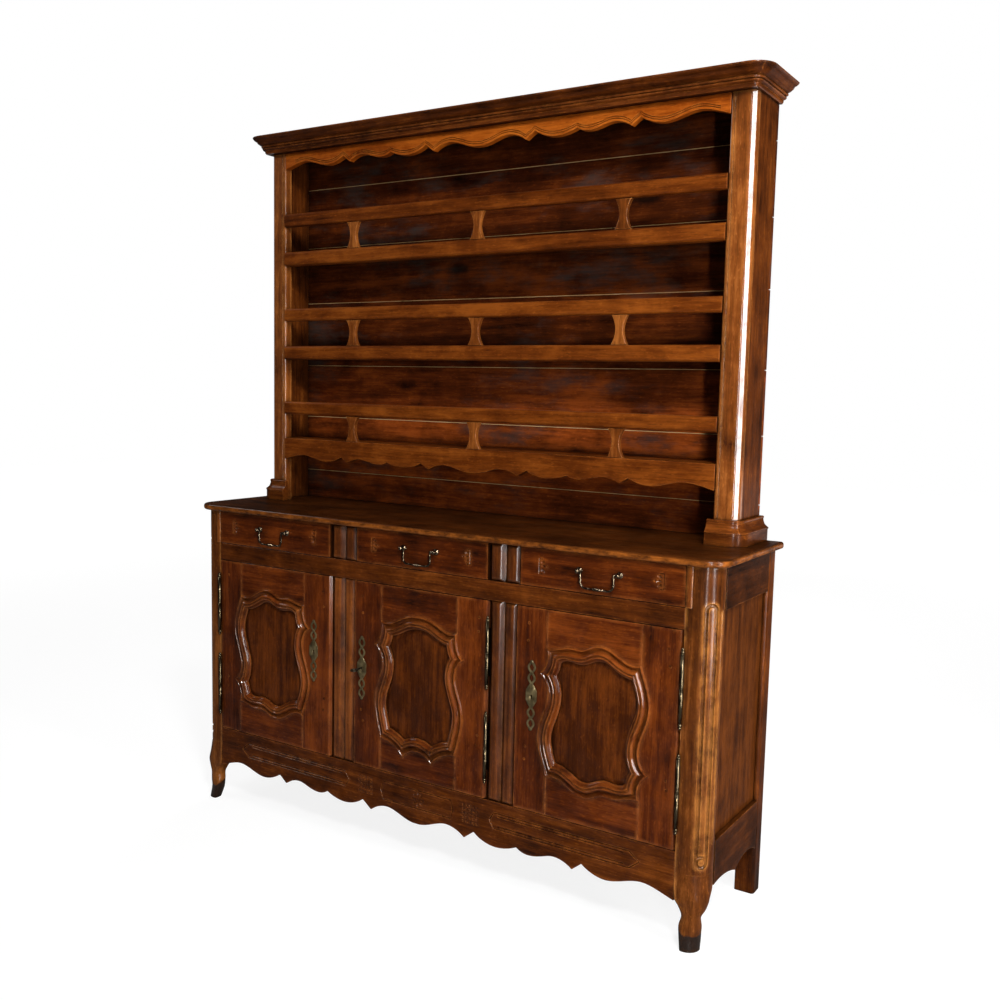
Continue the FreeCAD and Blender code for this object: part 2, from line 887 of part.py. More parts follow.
# Door openings have a shaped outline. Each stretch is a smooth line through its points, and the
# stretches meet in corners. The points are drawn from the door's middle, clockwise from the top left
# corner seen from the front, for an opening whose corners lie DRAWN_X and DRAWN_Z from the middle.
DRAWN_X = 146
DRAWN_Z = 186
SIDE_HALF = (
    ((-146, 186), (-114, 189), (-83, 200), (-48, 196), (8, 216), (62, 204), (104, 182), (140, 184)),
    ((140, 184), (158, 135), (171, 72), (161, 18), (144, -34), (145, -78), (173, -111)),
    ((173, -111), (152, -132), (144, -158), (146, -186)),
)
SIDE_OUTLINE = SIDE_HALF + tuple(tuple((-x, -z) for x, z in points) for points in SIDE_HALF)
MIDDLE_OUTLINE = (
    ((-142, 182), (-100, 182), (-56, 203), (0, 213), (56, 203), (100, 182), (142, 182)),
    ((142, 182), (142, 148), (150, 122), (168, 104)),
    ((168, 104), (147, 82), (138, 50), (148, 2), (166, -58), (160, -124), (142, -190)),
    ((142, -190), (110, -196), (78, -212), (55, -238)),
    ((55, -238), (28, -214), (0, -207), (-28, -214), (-55, -238)),
    ((-55, -238), (-78, -212), (-110, -196), (-142, -190)),
    ((-142, -190), (-160, -124), (-166, -58), (-148, 2), (-138, 50), (-147, 82), (-168, 104)),
    ((-168, 104), (-150, 122), (-142, 148), (-142, 182)),
)
# The stretches that begin at the opening's four corners: top left, top right, bottom right, bottom left.
SIDE_CORNERS = (0, 1, 3, 4)
MIDDLE_CORNERS = (0, 1, 3, 6)
SAMPLES = 60
KNOTS = 9


def fitted(outline):
    """An outline stretched so that its corners lie where the stiles and rails meet."""
    across = float(bay / 2 - s.door_gap - s.door_stile) / DRAWN_X
    up = float(s.door_opening / 2 - s.door_gap - s.door_rail) / DRAWN_Z
    return [[Vector(x * across, 0, z * up) for x, z in points] for points in outline]


def crossing(first, second):
    """The crossing of two polylines nearest to the end of the first."""
    for i in range(len(first) - 2, -1, -1):
        a, b = first[i], first[i + 1]
        for j in range(len(second) - 1):
            c, d = second[j], second[j + 1]
            ab, cd, ac = b - a, d - c, c - a
            bend = ab.x * cd.z - ab.z * cd.x
            if abs(bend) < 1e-12:
                continue
            t = (ac.x * cd.z - ac.z * cd.x) / bend
            u = (ac.x * ab.z - ac.z * ab.x) / bend
            if 0 <= t <= 1 and 0 <= u <= 1:
                return i, j, a + ab * t
    raise ValueError("two stretches of an outline no longer meet")


def inset(outline, distance):
    """Point rows of an outline moved inwards, with mitred corners."""
    rows = []
    for points in outline:
        edge = stretch(points)
        row = []
        for i in range(SAMPLES + 1):
            parameter = edge.FirstParameter
            parameter += (edge.LastParameter - edge.FirstParameter) * i / SAMPLES
            along = edge.tangentAt(parameter)
            row.append(edge.valueAt(parameter) + Vector(along.z, 0, -along.x) * distance)
        reach = distance * 2 + 1
        row.insert(0, row[0] - (row[1] - row[0]).normalize() * reach)
        row.append(row[-1] + (row[-1] - row[-2]).normalize() * reach)
        rows.append(row)
    count = len(rows)
    joints = [crossing(rows[i], rows[(i + 1) % count]) for i in range(count)]
    result = []
    for i, row in enumerate(rows):
        _, first, begin = joints[i - 1]
        last, _, end = joints[i]
        line = [begin] + row[first + 1 : last + 1] + [end]
        result.append(Part.makePolygon(line).discretize(Number=KNOTS))
    return result


def outline_wire(rows, y, centre_x, centre_z):
    """A closed wire through the rows, at a depth."""
    edges = []
    for row in rows:
        placed = [Vector(p.x + centre_x, y, p.z + centre_z) for p in row]
        edges.append(stretch(placed))
    return Part.Wire(edges)


# Across a door's moulding from its outer edge: a bead, a hollow, two rounds with a quirk between them
# and a lip. Each point is a share of the moulding's width, and how far it stands in front of the
# door's face as a share of the rise.
MOULDING = (
    (0.0, 0.0),
    (0.04, 0.46),
    (0.11, 0.54),
    (0.18, 0.08),
    (0.31, -0.12),
    (0.4, 0.5),
    (0.47, 0.92),
    (0.55, 1.0),
    (0.61, 0.6),
    (0.66, 0.58),
    (0.72, 0.92),
    (0.79, 0.78),
    (0.86, -0.05),
    (0.93, -0.3),
    (1.0, -0.42),
)


class Opening:
    """A door's shaped opening, for wires and solids that follow it at a distance inwards."""

    def __init__(self, outline, corners, centre_x, shift):
        self.outline = fitted(outline)
        self.corners = corners
        self.door_x = centre_x
        self.middle = point(centre_x + shift, 0, s.door_sill + s.door_opening / 2)

    def wire(self, distance, y):
        return outline_wire(inset(self.outline, distance), y, self.middle.x, self.middle.z)

    def prism(self, distance, y0, y1):
        return Part.Face(self.wire(distance, y0)).extrude(Vector(0, y1 - y0, 0))

    def loft(self, levels):
        return Part.makeLoft([self.wire(distance, y) for distance, y in levels], True, True)

    def mitre(self, corner):
        """A corner, and a point on its mitre well inside the moulding."""
        index = self.corners[corner]
        outer = self.outline[index][0]
        inner = inset(self.outline, float(s.moulding_width))[index][0]
        return outer + self.middle, inner + (inner - outer) + self.middle


def door_frame_shapes(opening):
    """The moulded frame of a door: two stiles and two rails, mitred at the moulding's corners."""
    width = float(s.moulding_width)
    rise = float(s.moulding_rise)
    y0 = float(front)
    y1 = float(front + s.door_thick)
    fore = y0 - 2 * rise
    aft = y1 + rise
    z0 = float(s.door_sill + s.door_gap)
    z1 = float(door_head - s.door_gap)
    reach = float(bay / 2 - s.door_gap)
    groove_y = float(front + s.groove_front)
    groove_end = float(front + s.groove_front + s.groove_width)
    tongue = float(s.moulding_width - s.groove_depth)
    plate = Part.makeBox(2 * reach, y1 - y0, z1 - z0, Vector(opening.door_x - reach, y0, z0))
    levels = [(0.0, y1)] + [(across * width, y0 - out * rise) for across, out in MOULDING]
    ring = opening.loft(levels).cut(opening.prism(width, fore, aft))
    blank = plate.cut(opening.prism(0.0, fore, aft)).fuse(ring)
    blank = blank.cut(opening.prism(tongue, groove_y, groove_end))
    stiles = []
    for upper, lower, way in ((0, 3, -1), (1, 2, 1)):
        edge = opening.door_x + way * reach
        top, top_inside = opening.mitre(upper)
        bottom, bottom_inside = opening.mitre(lower)
        places = (
            (edge, z1),
            (top.x, z1),
            (top.x, top.z),
            (top_inside.x, top_inside.z),
            (bottom_inside.x, bottom_inside.z),
            (bottom.x, bottom.z),
            (bottom.x, z0),
            (edge, z0),
        )
        corners = [Vector(x, fore, z) for x, z in places]
        area = Part.Face(Part.makePolygon(corners + corners[:1]))
        stiles.append(blank.common(area.extrude(Vector(0, aft - fore, 0))))
    rails = blank.cut(stiles[0]).cut(stiles[1]).Solids
    return stiles, sorted(rails, key=lambda rail: rail.CenterOfMass.z)


def door_panel_shape(opening):
    """The panel: a thin edge in the frame's groove and a raised field in front of it."""
    play = s.panel_play
    tongue = s.moulding_width - s.groove_depth + play
    groove_y = float(front + s.groove_front + play)
    groove_end = float(front + s.groove_front + s.groove_width - play)
    field_y = float(front + s.groove_front + play - s.field_rise)
    foot = float(s.moulding_width + play)
    crown = float(s.moulding_width + s.field_bevel)
    thin = opening.prism(float(tongue), groove_y, groove_end)
    return thin.fuse(opening.loft([(foot, groove_y), (crown, field_y)])).removeSplitter()


# Key plate: a solid boss, and above and below it a pair of strands that cross at each half turn.
HALF_TURNS = 2.5
STRAND_POINTS = 16


def strand_shape(middle, way, side):
    """One wavy strand from the boss to the tip, up for way 1 and down for -1."""
    sweep = float(s.plate_width - s.plate_strand) / 2
    rise = float(s.plate_twist)
    begin = float(s.plate_boss_height) / 2 - float(s.plate_strand) * 2
    edges = {-1: [], 1: []}
    for step in range(STRAND_POINTS + 1):
        turn = HALF_TURNS * step / STRAND_POINTS
        x = side * sweep * math.cos(math.pi * turn)
        lean = -side * sweep * math.pi * math.sin(math.pi * turn)
        across = Vector(rise, 0, -lean).normalize() * (float(s.plate_strand) / 2)
        on_line = Vector(x, 0, begin + rise * turn)
        for edge, row in edges.items():
            place = on_line + across * edge
            row.append(middle + Vector(place.x, 0, way * place.z))
    near_side, far_side = edges[-1], edges[1]
    ends = [
        Part.LineSegment(near_side[0], far_side[0]).toShape(),
        Part.LineSegment(near_side[-1], far_side[-1]).toShape(),
    ]
    thickness = Vector(0, float(s.plate_thick), 0)
    return extruded([stretch(near_side), stretch(far_side)] + ends, thickness)


def lock_plate_shape(centre_x, height):
    """The whole plate, laid on the door's face."""
    thick = float(s.plate_thick)
    wide = float(s.plate_boss_width) / 2
    tall = float(s.plate_boss_height) / 2
    middle = Vector(centre_x, float(front) - thick, height)
    through = Vector(0, 1, 0)
    corners = []
    for x, z in ((1, 2), (2, 1), (2, -1), (1, -2), (-1, -2), (-2, -1), (-2, 1), (-1, 2)):
        corners.append(middle + Vector(x * wide / 2, 0, z * tall / 2))
    plate = Part.Face(Part.makePolygon(corners + corners[:1])).extrude(through * thick)
    tip_rise = tall - float(s.plate_strand) * 2 + float(s.plate_twist) * HALF_TURNS
    pieces = []
    for way in (-1, 1):
        tip = middle + Vector(0, 0, way * tip_rise)
        pieces.append(Part.makeCylinder(float(s.plate_tip), thick, tip, through))
        for side in (-1, 1):
            pieces.append(strand_shape(middle, way, side))
    return plate.multiFuse(pieces).removeSplitter()


def lock_pieces(door, centre, height, inset_from_edge, hand):
    """Key plate, lock case, bolt and keyhole. The free edge lies left for hand 1, right for -1."""
    edge = centre - (bay / 2 - s.door_gap) * hand
    key_x = edge + inset_from_edge * hand
    y0 = front + s.door_thick
    y1 = y0 + s.lock_depth
    wall = s.lock_wall
    case_x = sorted((edge + s.case_edge * hand, key_x + s.case_behind_key * hand), key=float)
    case_z = (height - s.case_below_key, height + s.case_above_key)
    shell = box(f"{door}_lock_shell", case_x, (y0, y1), case_z)
    hollow = box(
        f"{door}_lock_hollow",
        (case_x[0] + wall, case_x[1] - wall),
        (y0, y1 - wall),
        (case_z[0] + wall, case_z[1] - wall),
    )
    bolt_z = height + s.key_bit + s.bolt_clear
    bolt_y = (y0 + s.bolt_behind, y0 + s.bolt_behind + s.bolt_thick)
    bolt_x = sorted((edge + s.case_edge * hand, key_x + s.bolt_tail * hand), key=float)
    bolt = box(f"{door}_lock_bar", bolt_x, bolt_y, (bolt_z, bolt_z + s.bolt_height))
    mouth_x = sorted((edge, edge + (s.case_edge + wall * 2) * hand), key=float)
    mouth = box(
        f"{door}_lock_mouth",
        mouth_x,
        (bolt_y[0] - s.bolt_play, bolt_y[1] + s.bolt_play),
        (bolt_z - s.bolt_play, bolt_z + s.bolt_height + s.bolt_play),
    )
    case = cut(f"{door}_lock_open", cut(f"{door}_lock_box", shell, hollow), mouth)
    keyhole_y = (front - s.plate_thick, y0)
    bore = rod(
        f"{door}_key_bore",
        s.key_radius + s.keyhole_play,
        keyhole_y[1] - keyhole_y[0],
        (key_x, keyhole_y[0], height),
        Vector(0, 1, 0),
    )
    slot_half = s.key_bit_thick / 2 + s.keyhole_slot_play
    slot = box(
        f"{door}_key_slot",
        (key_x - slot_half, key_x + slot_half),
        keyhole_y,
        (height - s.key_bit - s.keyhole_slot_play, height),
    )
    keyhole = fuse(f"{door}_keyhole", bore, slot)
    blank = solid(f"{door}_plate_blank", lock_plate_shape(float(key_x), float(height)))
    return key_x, case, bolt, keyhole, cut(f"{door}_key_plate", blank, keyhole)


def door_nodes(door, centre, height, stiles, rails, panel, knuckles, lock_inset, hand):
    """Name a door's pieces, with its lock on the free edge."""
    key_x, case, bolt, keyhole, plate = lock_pieces(door, centre, height, lock_inset, hand)
    free = cut(f"{door}_lock_stile", stiles[0], keyhole)
    node(f"door_{door}_stiles", free, stiles[1])
    node(f"door_{door}_rails", *rails)
    node(f"door_{door}_panel", panel)
    node(f"door_{door}_knuckles", *knuckles)
    node(f"door_{door}_key_plate", plate)
    node(f"door_{door}_lock_case", case)
    node(f"door_{door}_lock_bolt", bolt)
    return key_x


def door_pieces(door, outline, corners, centre, shift):
    """A door's stiles (the free one first), rails and panel; shift sets the opening off centre."""
    opening = Opening(outline, corners, float(centre), float(shift))
    stiles, rails = door_frame_shapes(opening)
    return (
        [solid(f"{door}_stile_{i}", shape) for i, shape in enumerate(stiles)],
        [solid(f"{door}_rail_{i}", shape) for i, shape in enumerate(rails)],
        solid(f"{door}_panel", door_panel_shape(opening)),
    )


middle_door = door_pieces("middle", MIDDLE_OUTLINE, MIDDLE_CORNERS, 0, 0)
right_door = door_pieces("right", SIDE_OUTLINE, SIDE_CORNERS, bay_centre, s.opening_shift_right)
twin = door_pieces("left_twin", SIDE_OUTLINE, SIDE_CORNERS, bay_centre, s.opening_shift_left)
left_door = (
    [mirrored(f"left_stile_{i}", piece) for i, piece in enumerate(twin[0])],
    [mirrored(f"left_rail_{i}", piece) for i, piece in enumerate(twin[1])],
    mirrored("left_panel", twin[2]),
)
door_nodes(
    "left", -bay_centre, s.lock_height_side, *left_door, left_knuckles, s.lock_inset_left, -1
)
key_x = door_nodes(
    "middle",
    as_length(0),
    s.lock_height_middle,
    *middle_door,
    middle_knuckles,
    s.lock_inset_middle,
    1,
)
door_nodes(
    "right", bay_centre, s.lock_height_side, *right_door, right_knuckles, s.lock_inset_right, 1
)

# Key: a ring bow lying flat, a round shank through the door, and a bit inside the lock case.
key_z = s.lock_height_middle
bow_y = front - s.key_reach + s.key_bow + s.key_bow_wire
shank_end = front + s.door_thick + s.lock_depth - s.lock_wall * 2
bow = turned(
    "Torus",
    "key_bow_ring",
    {"Radius1": s.key_bow, "Radius2": s.key_bow_wire},
    (key_x, bow_y, key_z),
)
shank = rod(
    "key_shank",
    s.key_radius,
    shank_end - bow_y - s.key_bow,
    (key_x, bow_y + s.key_bow, key_z),
    Vector(0, 1, 0),
)
bit = box(
    "key_bit",
    (key_x - s.key_bit, key_x),
    (shank_end - s.key_bit_width, shank_end),
    (key_z - s.key_bit_thick / 2, key_z + s.key_bit_thick / 2),
)
node("key", fuse("key_whole", bow, shank, bit))


# Drawers: a front board, and a box of two sides, a back and a bottom behind it.
def drawer_box(name, drawer_bay):
    low, high = drawer_bay
    x = (low + s.drawer_gap, high - s.drawer_gap)
    y = front + s.drawer_front_thick
    z0 = drawer_sill + s.runner_play
    side_top = case_top - s.drawer_side_drop
    beside = s.guide_width + s.guide_gap
    side_x = (low + beside, high - beside)
    wall = s.drawer_side_thick
    rear = y + s.drawer_box_depth
    floor = z0 + s.drawer_bottom_lift
    front_board = box(
        f"{name}_drawer_front",
        x,
        (front, y),
        (drawer_sill + s.drawer_gap, case_top - s.drawer_gap),
    )
    sides = [
        box(f"{name}_drawer_side_a", (side_x[0], side_x[0] + wall), (y, rear), (z0, side_top)),
        box(f"{name}_drawer_side_b", (side_x[1] - wall, side_x[1]), (y, rear), (z0, side_top)),
    ]
    inside = (side_x[0] + wall, side_x[1] - wall)
    rear_board = box(f"{name}_drawer_back", inside, (rear - wall, rear), (z0, side_top))
    bottom = box(
        f"{name}_drawer_bottom",
        inside,
        (y, rear - wall),
        (floor, floor + s.drawer_bottom_thick),
    )
    return front_board, sides + [rear_board, bottom]


# Handles: two posts with round plates and ball heads, and a bail whose ends turn in the heads.
def handle_posts(name, centre):
    pieces = []
    y = front - s.post_reach
    for side, way in (("a", -1), ("b", 1)):
        x = centre + s.post_pitch / 2 * way
        plate = rod(
            f"{name}_post_plate_{side}",
            s.post_plate,
            s.post_plate_thick,
            (x, front, s.post_height),
            Vector(0, -1, 0),
        )
        stem = rod(
            f"{name}_post_stem_{side}",
            s.post_radius,
            s.post_reach,
            (x, front, s.post_height),
            Vector(0, -1, 0),
        )
        head = ball(f"{name}_post_head_{side}", s.post_head, (x, y, s.post_height))
        whole = fuse(f"{name}_post_{side}_whole", plate, stem, head)
        bore = rod(
            f"{name}_post_bore_{side}",
            s.bail_pin + s.pin_play,
            s.post_head * 2,
            (x - s.post_head, y, s.post_height),
            Vector(1, 0, 0),
        )
        pieces.append(cut(f"{name}_post_{side}", whole, bore))
    return pieces


# Rings turned on the bail's grip: the place of each in the row, and its share of the rings' rise.
BAIL_BEADS = ((-2, 0.7), (-1, 0.85), (0, 1.0), (1, 0.85), (2, 0.7))


def bail_bar(name, centre):
    """A round bar bent down, across and up again, with beads on the grip and a pin at each end."""
    y = front - s.post_reach
    arm = s.post_pitch / 2 - s.bail_inset
    low = s.post_height - s.bail_drop
    elbow = (centre + arm, y, s.post_height)
    bend = turned(
        "Torus",
        f"{name}_bend",
        {"Radius1": s.bail_bend, "Radius2": s.bail_radius, "Angle3": 90},
        (centre + arm - s.bail_bend, y, low + s.bail_bend),
        Vector(0, 1, 0),
    )
    right = fuse(
        f"{name}_right_half",
        rod(f"{name}_pin", s.bail_pin, s.bail_inset + s.post_head, elbow, Vector(1, 0, 0)),
        rod(
            f"{name}_arm",
            s.bail_radius,
            s.bail_drop - s.bail_bend + s.bail_radius,
            (centre + arm, y, low + s.bail_bend),
        ),
        bend,
    )
    grip = rod(
        f"{name}_grip",
        s.bail_radius,
        (arm - s.bail_bend) * 2,
        (centre - arm + s.bail_bend, y, low),
        Vector(1, 0, 0),
    )
    beads = []
    for index, (place, size) in enumerate(BAIL_BEADS, start=1):
        start = (centre + s.bail_bead_pitch * place - s.bail_bead_width / 2, y, low)
        radius = s.bail_radius + s.bail_bead * size
        bead = rod(f"{name}_bead_{index}", radius, s.bail_bead_width, start, Vector(1, 0, 0))
        beads.append(bead)
    left = mirrored(f"{name}_left_half", right, centre)
    return fuse(name, right, left, grip, *beads)


middle_front, middle_box = drawer_box("middle", middle_bay)
right_front, right_box = drawer_box("right", right_bay)
right_centre = (right_bay[0] + right_bay[1]) / 2
middle_posts = handle_posts("middle", as_length(0))
right_posts = handle_posts("right", right_centre)
middle_bail = bail_bar("middle_bail_bar", as_length(0))
right_bail = bail_bar("right_bail_bar", right_centre)
left_front = mirrored("left_drawer_front", right_front)
left_box = [mirrored(f"left_{piece.Name}", piece) for piece in right_box]
left_posts = [mirrored(f"left_{piece.Name}", piece) for piece in right_posts]
left_bail = mirrored("left_bail_bar", right_bail)
for name, board, sides, posts, bail in (
    ("left", left_front, left_box, left_posts, left_bail),
    ("middle", middle_front, middle_box, middle_posts, middle_bail),
    ("right", right_front, right_box, right_posts, right_bail),
):
    node(f"drawer_{name}_front", board)
    node(f"drawer_{name}_box", *sides)
    node(f"drawer_{name}_handle_posts", *posts)
    node(f"drawer_{name}_bail", bail)

# Rack stiles: rounded on the outer front corner, beaded on the inner one.
rack_stile = box(
    "rack_post",
    (rack_opening, rack_half),
    (rack_front, rack_front + s.rack_stile_thick),
    (s.base_height, rack_top),
)
rack_stile = rounded(
    "rack_post_round",
    rack_stile,
    s.rack_stile_round,
    lambda p: near(p.x, rack_half) and near(p.y, rack_front),
)
rack_stile = rounded(
    "rack_post_bead",
    rack_stile,
    s.rack_stile_bead,
    lambda p: near(p.x, rack_opening) and near(p.y, rack_front),
)
bead_line = rod(
    "rack_bead_groove",
    s.rack_bead_line,
    rack_top - s.base_height,
    (rack_opening + s.rack_stile_bead * 2, rack_front, s.base_height),
)
rack_stile = cut("rack_stile_right", rack_stile, bead_line)
node("rack_stiles", rack_stile, mirrored("rack_stile_left", rack_stile))

rack_side = box(
    "rack_side_right",
    (rack_half - s.rack_side_thick, rack_half),
    (rack_front + s.rack_stile_thick, rack_board_front),
    (s.base_height, rack_top),
)
node("rack_side_boards", rack_side, mirrored("rack_side_left", rack_side))

# Rack back: boards of unlike widths lying across, nailed to the rear edges of the sides, with open
# joints. Each board starts at a share of the rack's height.
RACK_BOARDS = (0.0, 0.083, 0.246, 0.4, 0.586, 0.75, 0.921)
board_starts = [s.base_height + (rack_top - s.base_height) * share for share in RACK_BOARDS]
board_ends = [start - s.board_gap for start in board_starts[1:]] + [rack_top]
rack_boards = []
for index, (low, high) in enumerate(zip(board_starts, board_ends)):
    rack_boards.append(
        box(
            f"rack_board_{index + 1}",
            (-rack_half, rack_half),
            (rack_board_front, back),
            (low, high),
        )
    )
node("rack_back_boards", *rack_boards)

# Rack shelves, their fronts, guard rails and balusters.
shelf_x = (s.rack_side_thick - rack_half, rack_half - s.rack_side_thick)
shelf_y = (rack_front + s.rack_stile_thick, rack_board_front)
rail_x = (-rack_opening, rack_opening)
rail_y = (rack_front - s.rail_proud, rack_front - s.rail_proud + s.rail_thick)
shelves = []
shelf_fronts = []
guard_rails = []
balusters = []


def baluster_shape(low, high):
    """A flat hourglass cut from thin board."""
    wide = float(s.baluster_width) / 2
    waist = float(s.baluster_waist) / 2
    middle = (low + high) / 2
    right = stretch([Vector(wide, 0, low), Vector(waist, 0, middle), Vector(wide, 0, high)])
    left = stretch([Vector(-wide, 0, low), Vector(-waist, 0, middle), Vector(-wide, 0, high)])
    ends = [
        Part.LineSegment(Vector(-wide, 0, low), Vector(wide, 0, low)).toShape(),
        Part.LineSegment(Vector(-wide, 0, high), Vector(wide, 0, high)).toShape(),
    ]
    return extruded([right, left] + ends, Vector(0, float(s.baluster_thick), 0))


def rounded_front(name, y, z, radius):
    """A board across the rack with both front edges rounded."""
    board = box(f"{name}_blank", rail_x, y, z)
    return rounded(
        name,
        board,
        radius,
        lambda p: near(p.y, y[0]) and (near(p.z, z[0]) or near(p.z, z[1])),
    )


front_y = (rack_front - s.shelf_front_proud, rack_front + s.rack_stile_thick)
for name, rise in (("top", s.top_shelf), ("middle", s.middle_shelf), ("bottom", s.bottom_shelf)):
    shelf_top = s.base_height + rise
    shelves.append(
        box(
            f"rack_{name}_shelf",
            shelf_x,
            shelf_y,
            (shelf_top - s.rack_shelf_thick, shelf_top),
        )
    )
    if name != "bottom":
        shelf_fronts.append(
            rounded_front(
                f"rack_{name}_shelf_front",
                front_y,
                (shelf_top - s.shelf_front_height, shelf_top),
                s.shelf_front_round,
            )
        )
    rail_low = shelf_top + s.rail_above_shelf
    guard_rails.append(
        rounded_front(
            f"rack_{name}_guard_rail",
            rail_y,
            (rail_low, rail_low + s.rail_height),
            s.rail_round,
        )
    )
    for index in (-1, 0, 1):
        balusters.append(
            solid(
                f"rack_{name}_baluster_{index + 2}",
                baluster_shape(float(shelf_top), float(rail_low)),
                point(s.baluster_pitch * index, rack_front, 0),
            )
        )

bottom_top = s.base_height + s.bottom_shelf
shelf_apron = scalloped_board(
    float(rack_opening),
    float(bottom_top),
    float(bottom_top - s.shelf_apron + s.shelf_apron_scallop),
    float(s.shelf_apron_scallop),
    float(s.rack_stile_thick + s.shelf_apron_proud),
)
shelf_fronts.append(
    solid("rack_shelf_apron", shelf_apron, point(0, rack_front - s.shelf_apron_proud, 0))
)
node("rack_shelves", *shelves)
node("rack_shelf_fronts", *shelf_fronts)
node("rack_guard_rails", *guard_rails)
node("rack_balusters", *balusters)

frieze = scalloped_board(
    float(rack_opening),
    float(rack_top),
    float(rack_top - s.frieze_drop + s.frieze_scallop),
    float(s.frieze_scallop),
    float(s.frieze_thick),
)
node("rack_frieze", solid("frieze_board", frieze, point(0, rack_front, 0)))

# Dust board: the rack's top, standing out over the frieze to carry the cornice.
dust = box(
    "dust_board_blank",
    (-rack_half, rack_half),
    (rack_front - s.cornice_set, back),
    (rack_top, rack_top + s.dust_board),
)
dust = rounded(
    "dust_board",
    dust,
    s.cornice_corner + s.corner_ease,
    lambda p: near(abs(p.x), rack_half) and near(p.y, rack_front - s.cornice_set),
)
node("rack_dust_board", dust)

# Mouldings that wrap the rack, as shares of their width outwards and of their height upwards. The
# cornice from below: a round, two beads, a hollow, and a top round with its fillet.
CORNICE_PROFILE = (
    (0.0, 0.0),
    (0.14, 0.0),
    (0.2, 0.08),
    (0.22, 0.19),
    (0.32, 0.22),
    (0.38, 0.3),
    (0.34, 0.36),
    (0.43, 0.38),
    (0.46, 0.45),
    (0.42, 0.51),
    (0.55, 0.56),
    (0.7, 0.67),
    (0.78, 0.79),
    (0.85, 0.81),
    (0.94, 0.87),
    (1.0, 0.94),
    (1.0, 1.0),
    (0.0, 1.0),
)
# The plinth from below: a plain block, a fillet, a hollow and a top fillet.
PLINTH_PROFILE = (
    (0.0, 0.0),
    (0.93, 0.0),
    (0.93, 0.46),
    (1.0, 0.48),
    (1.0, 0.54),
    (0.86, 0.57),
    (0.6, 0.66),
    (0.46, 0.8),
    (0.43, 0.9),
    (0.48, 0.91),
    (0.48, 0.97),
    (0.4, 1.0),
    (0.0, 1.0),
)


def moulded_length(profile, width, height, route):
    """Sweep a profile along a level route that has the rack on its left."""
    start = route[0].valueAt(route[0].FirstParameter)
    along = route[0].tangentAt(route[0].FirstParameter)
    outward = Vector(along.y, -along.x, 0).normalize()
    corners = []
    for out, up in profile:
        corners.append(start + outward * (out * float(width)) + Vector(0, 0, up * float(height)))
    sweep = Part.BRepOffsetAPI.MakePipeShell(Part.Wire(route))
    sweep.setBiNormalMode(Vector(0, 0, 1))
    sweep.add(Part.makePolygon(corners + corners[:1]))
    sweep.build()
    sweep.makeSolid()
    return sweep.shape()


class Corner:
    """The rounded right-hand front corner of a moulding's route, parted at its mitre."""

    def __init__(self, x, y, z, radius):
        self.x = float(x)
        self.y = float(y)
        self.z = float(z)
        self.radius = float(radius)

    def arc(self, start, end):
        centre = Vector(self.x - self.radius, self.y + self.radius, self.z)
        circle = Part.Circle(centre, Vector(0, 0, 1), self.radius)
        return Part.ArcOfCircle(circle, math.radians(start), math.radians(end)).toShape()

    def front_route(self, from_x):
        """From a place on the front to the mitre."""
        begin = Vector(float(from_x), self.y, self.z)
        end = Vector(self.x - self.radius, self.y, self.z)
        return [Part.LineSegment(begin, end).toShape(), self.arc(-90, -45)]

    def side_route(self):
        """From the mitre along the side to the back."""
        begin = Vector(self.x, self.y + self.radius, self.z)
        end = Vector(self.x, float(back), self.z)
        return [self.arc(-45, 0), Part.LineSegment(begin, end).toShape()]


def moulding_pair(name, profile, width, height, route):
    """A moulded length on the right, and the same on the left."""
    piece = solid(f"{name}_right", moulded_length(profile, width, height, route))
    return piece, mirrored(f"{name}_left", piece)


corner = Corner(rack_half, rack_front - s.cornice_set, rack_top, s.cornice_corner)
size = (s.cornice_width, s.cornice_height)
halves = moulding_pair("cornice_front", CORNICE_PROFILE, *size, corner.front_route(0))
returns = moulding_pair("cornice_return", CORNICE_PROFILE, *size, corner.side_route())
node("rack_cornice", fuse("cornice_front", *halves), *returns)

corner = Corner(rack_half, rack_front, s.base_height, s.rack_stile_round - s.corner_ease)
size = (s.plinth_width, s.plinth_height)
inner_end = rack_opening - s.plinth_inner
fronts = moulding_pair("plinth_front", PLINTH_PROFILE, *size, corner.front_route(inner_end))
returns = moulding_pair("plinth_return", PLINTH_PROFILE, *size, corner.side_route())
node("rack_plinth_mouldings", *fronts, *returns)

# Every object has to be sound before anything is written.
doc.recompute()
for piece in doc.Objects:
    if "Invalid" in piece.State or "Error" in piece.State:
        raise RuntimeError(f"{piece.Name} failed: {piece.State}")
for piece in nodes:
    if piece.Shape.isNull() or not piece.Shape.isValid():
        raise RuntimeError(f"{piece.Label} has no valid shape")

os.makedirs("parts", exist_ok=True)
for piece in nodes:
    piece.Shape.exportStep(f"parts/{piece.Label}.step")
print(len(nodes), "sub-parts written")
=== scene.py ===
"""Kitchen dresser in old waxed oak: the looks of the part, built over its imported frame."""
import math
import random

import bmesh
import bpy
from mathutils import Matrix, Vector


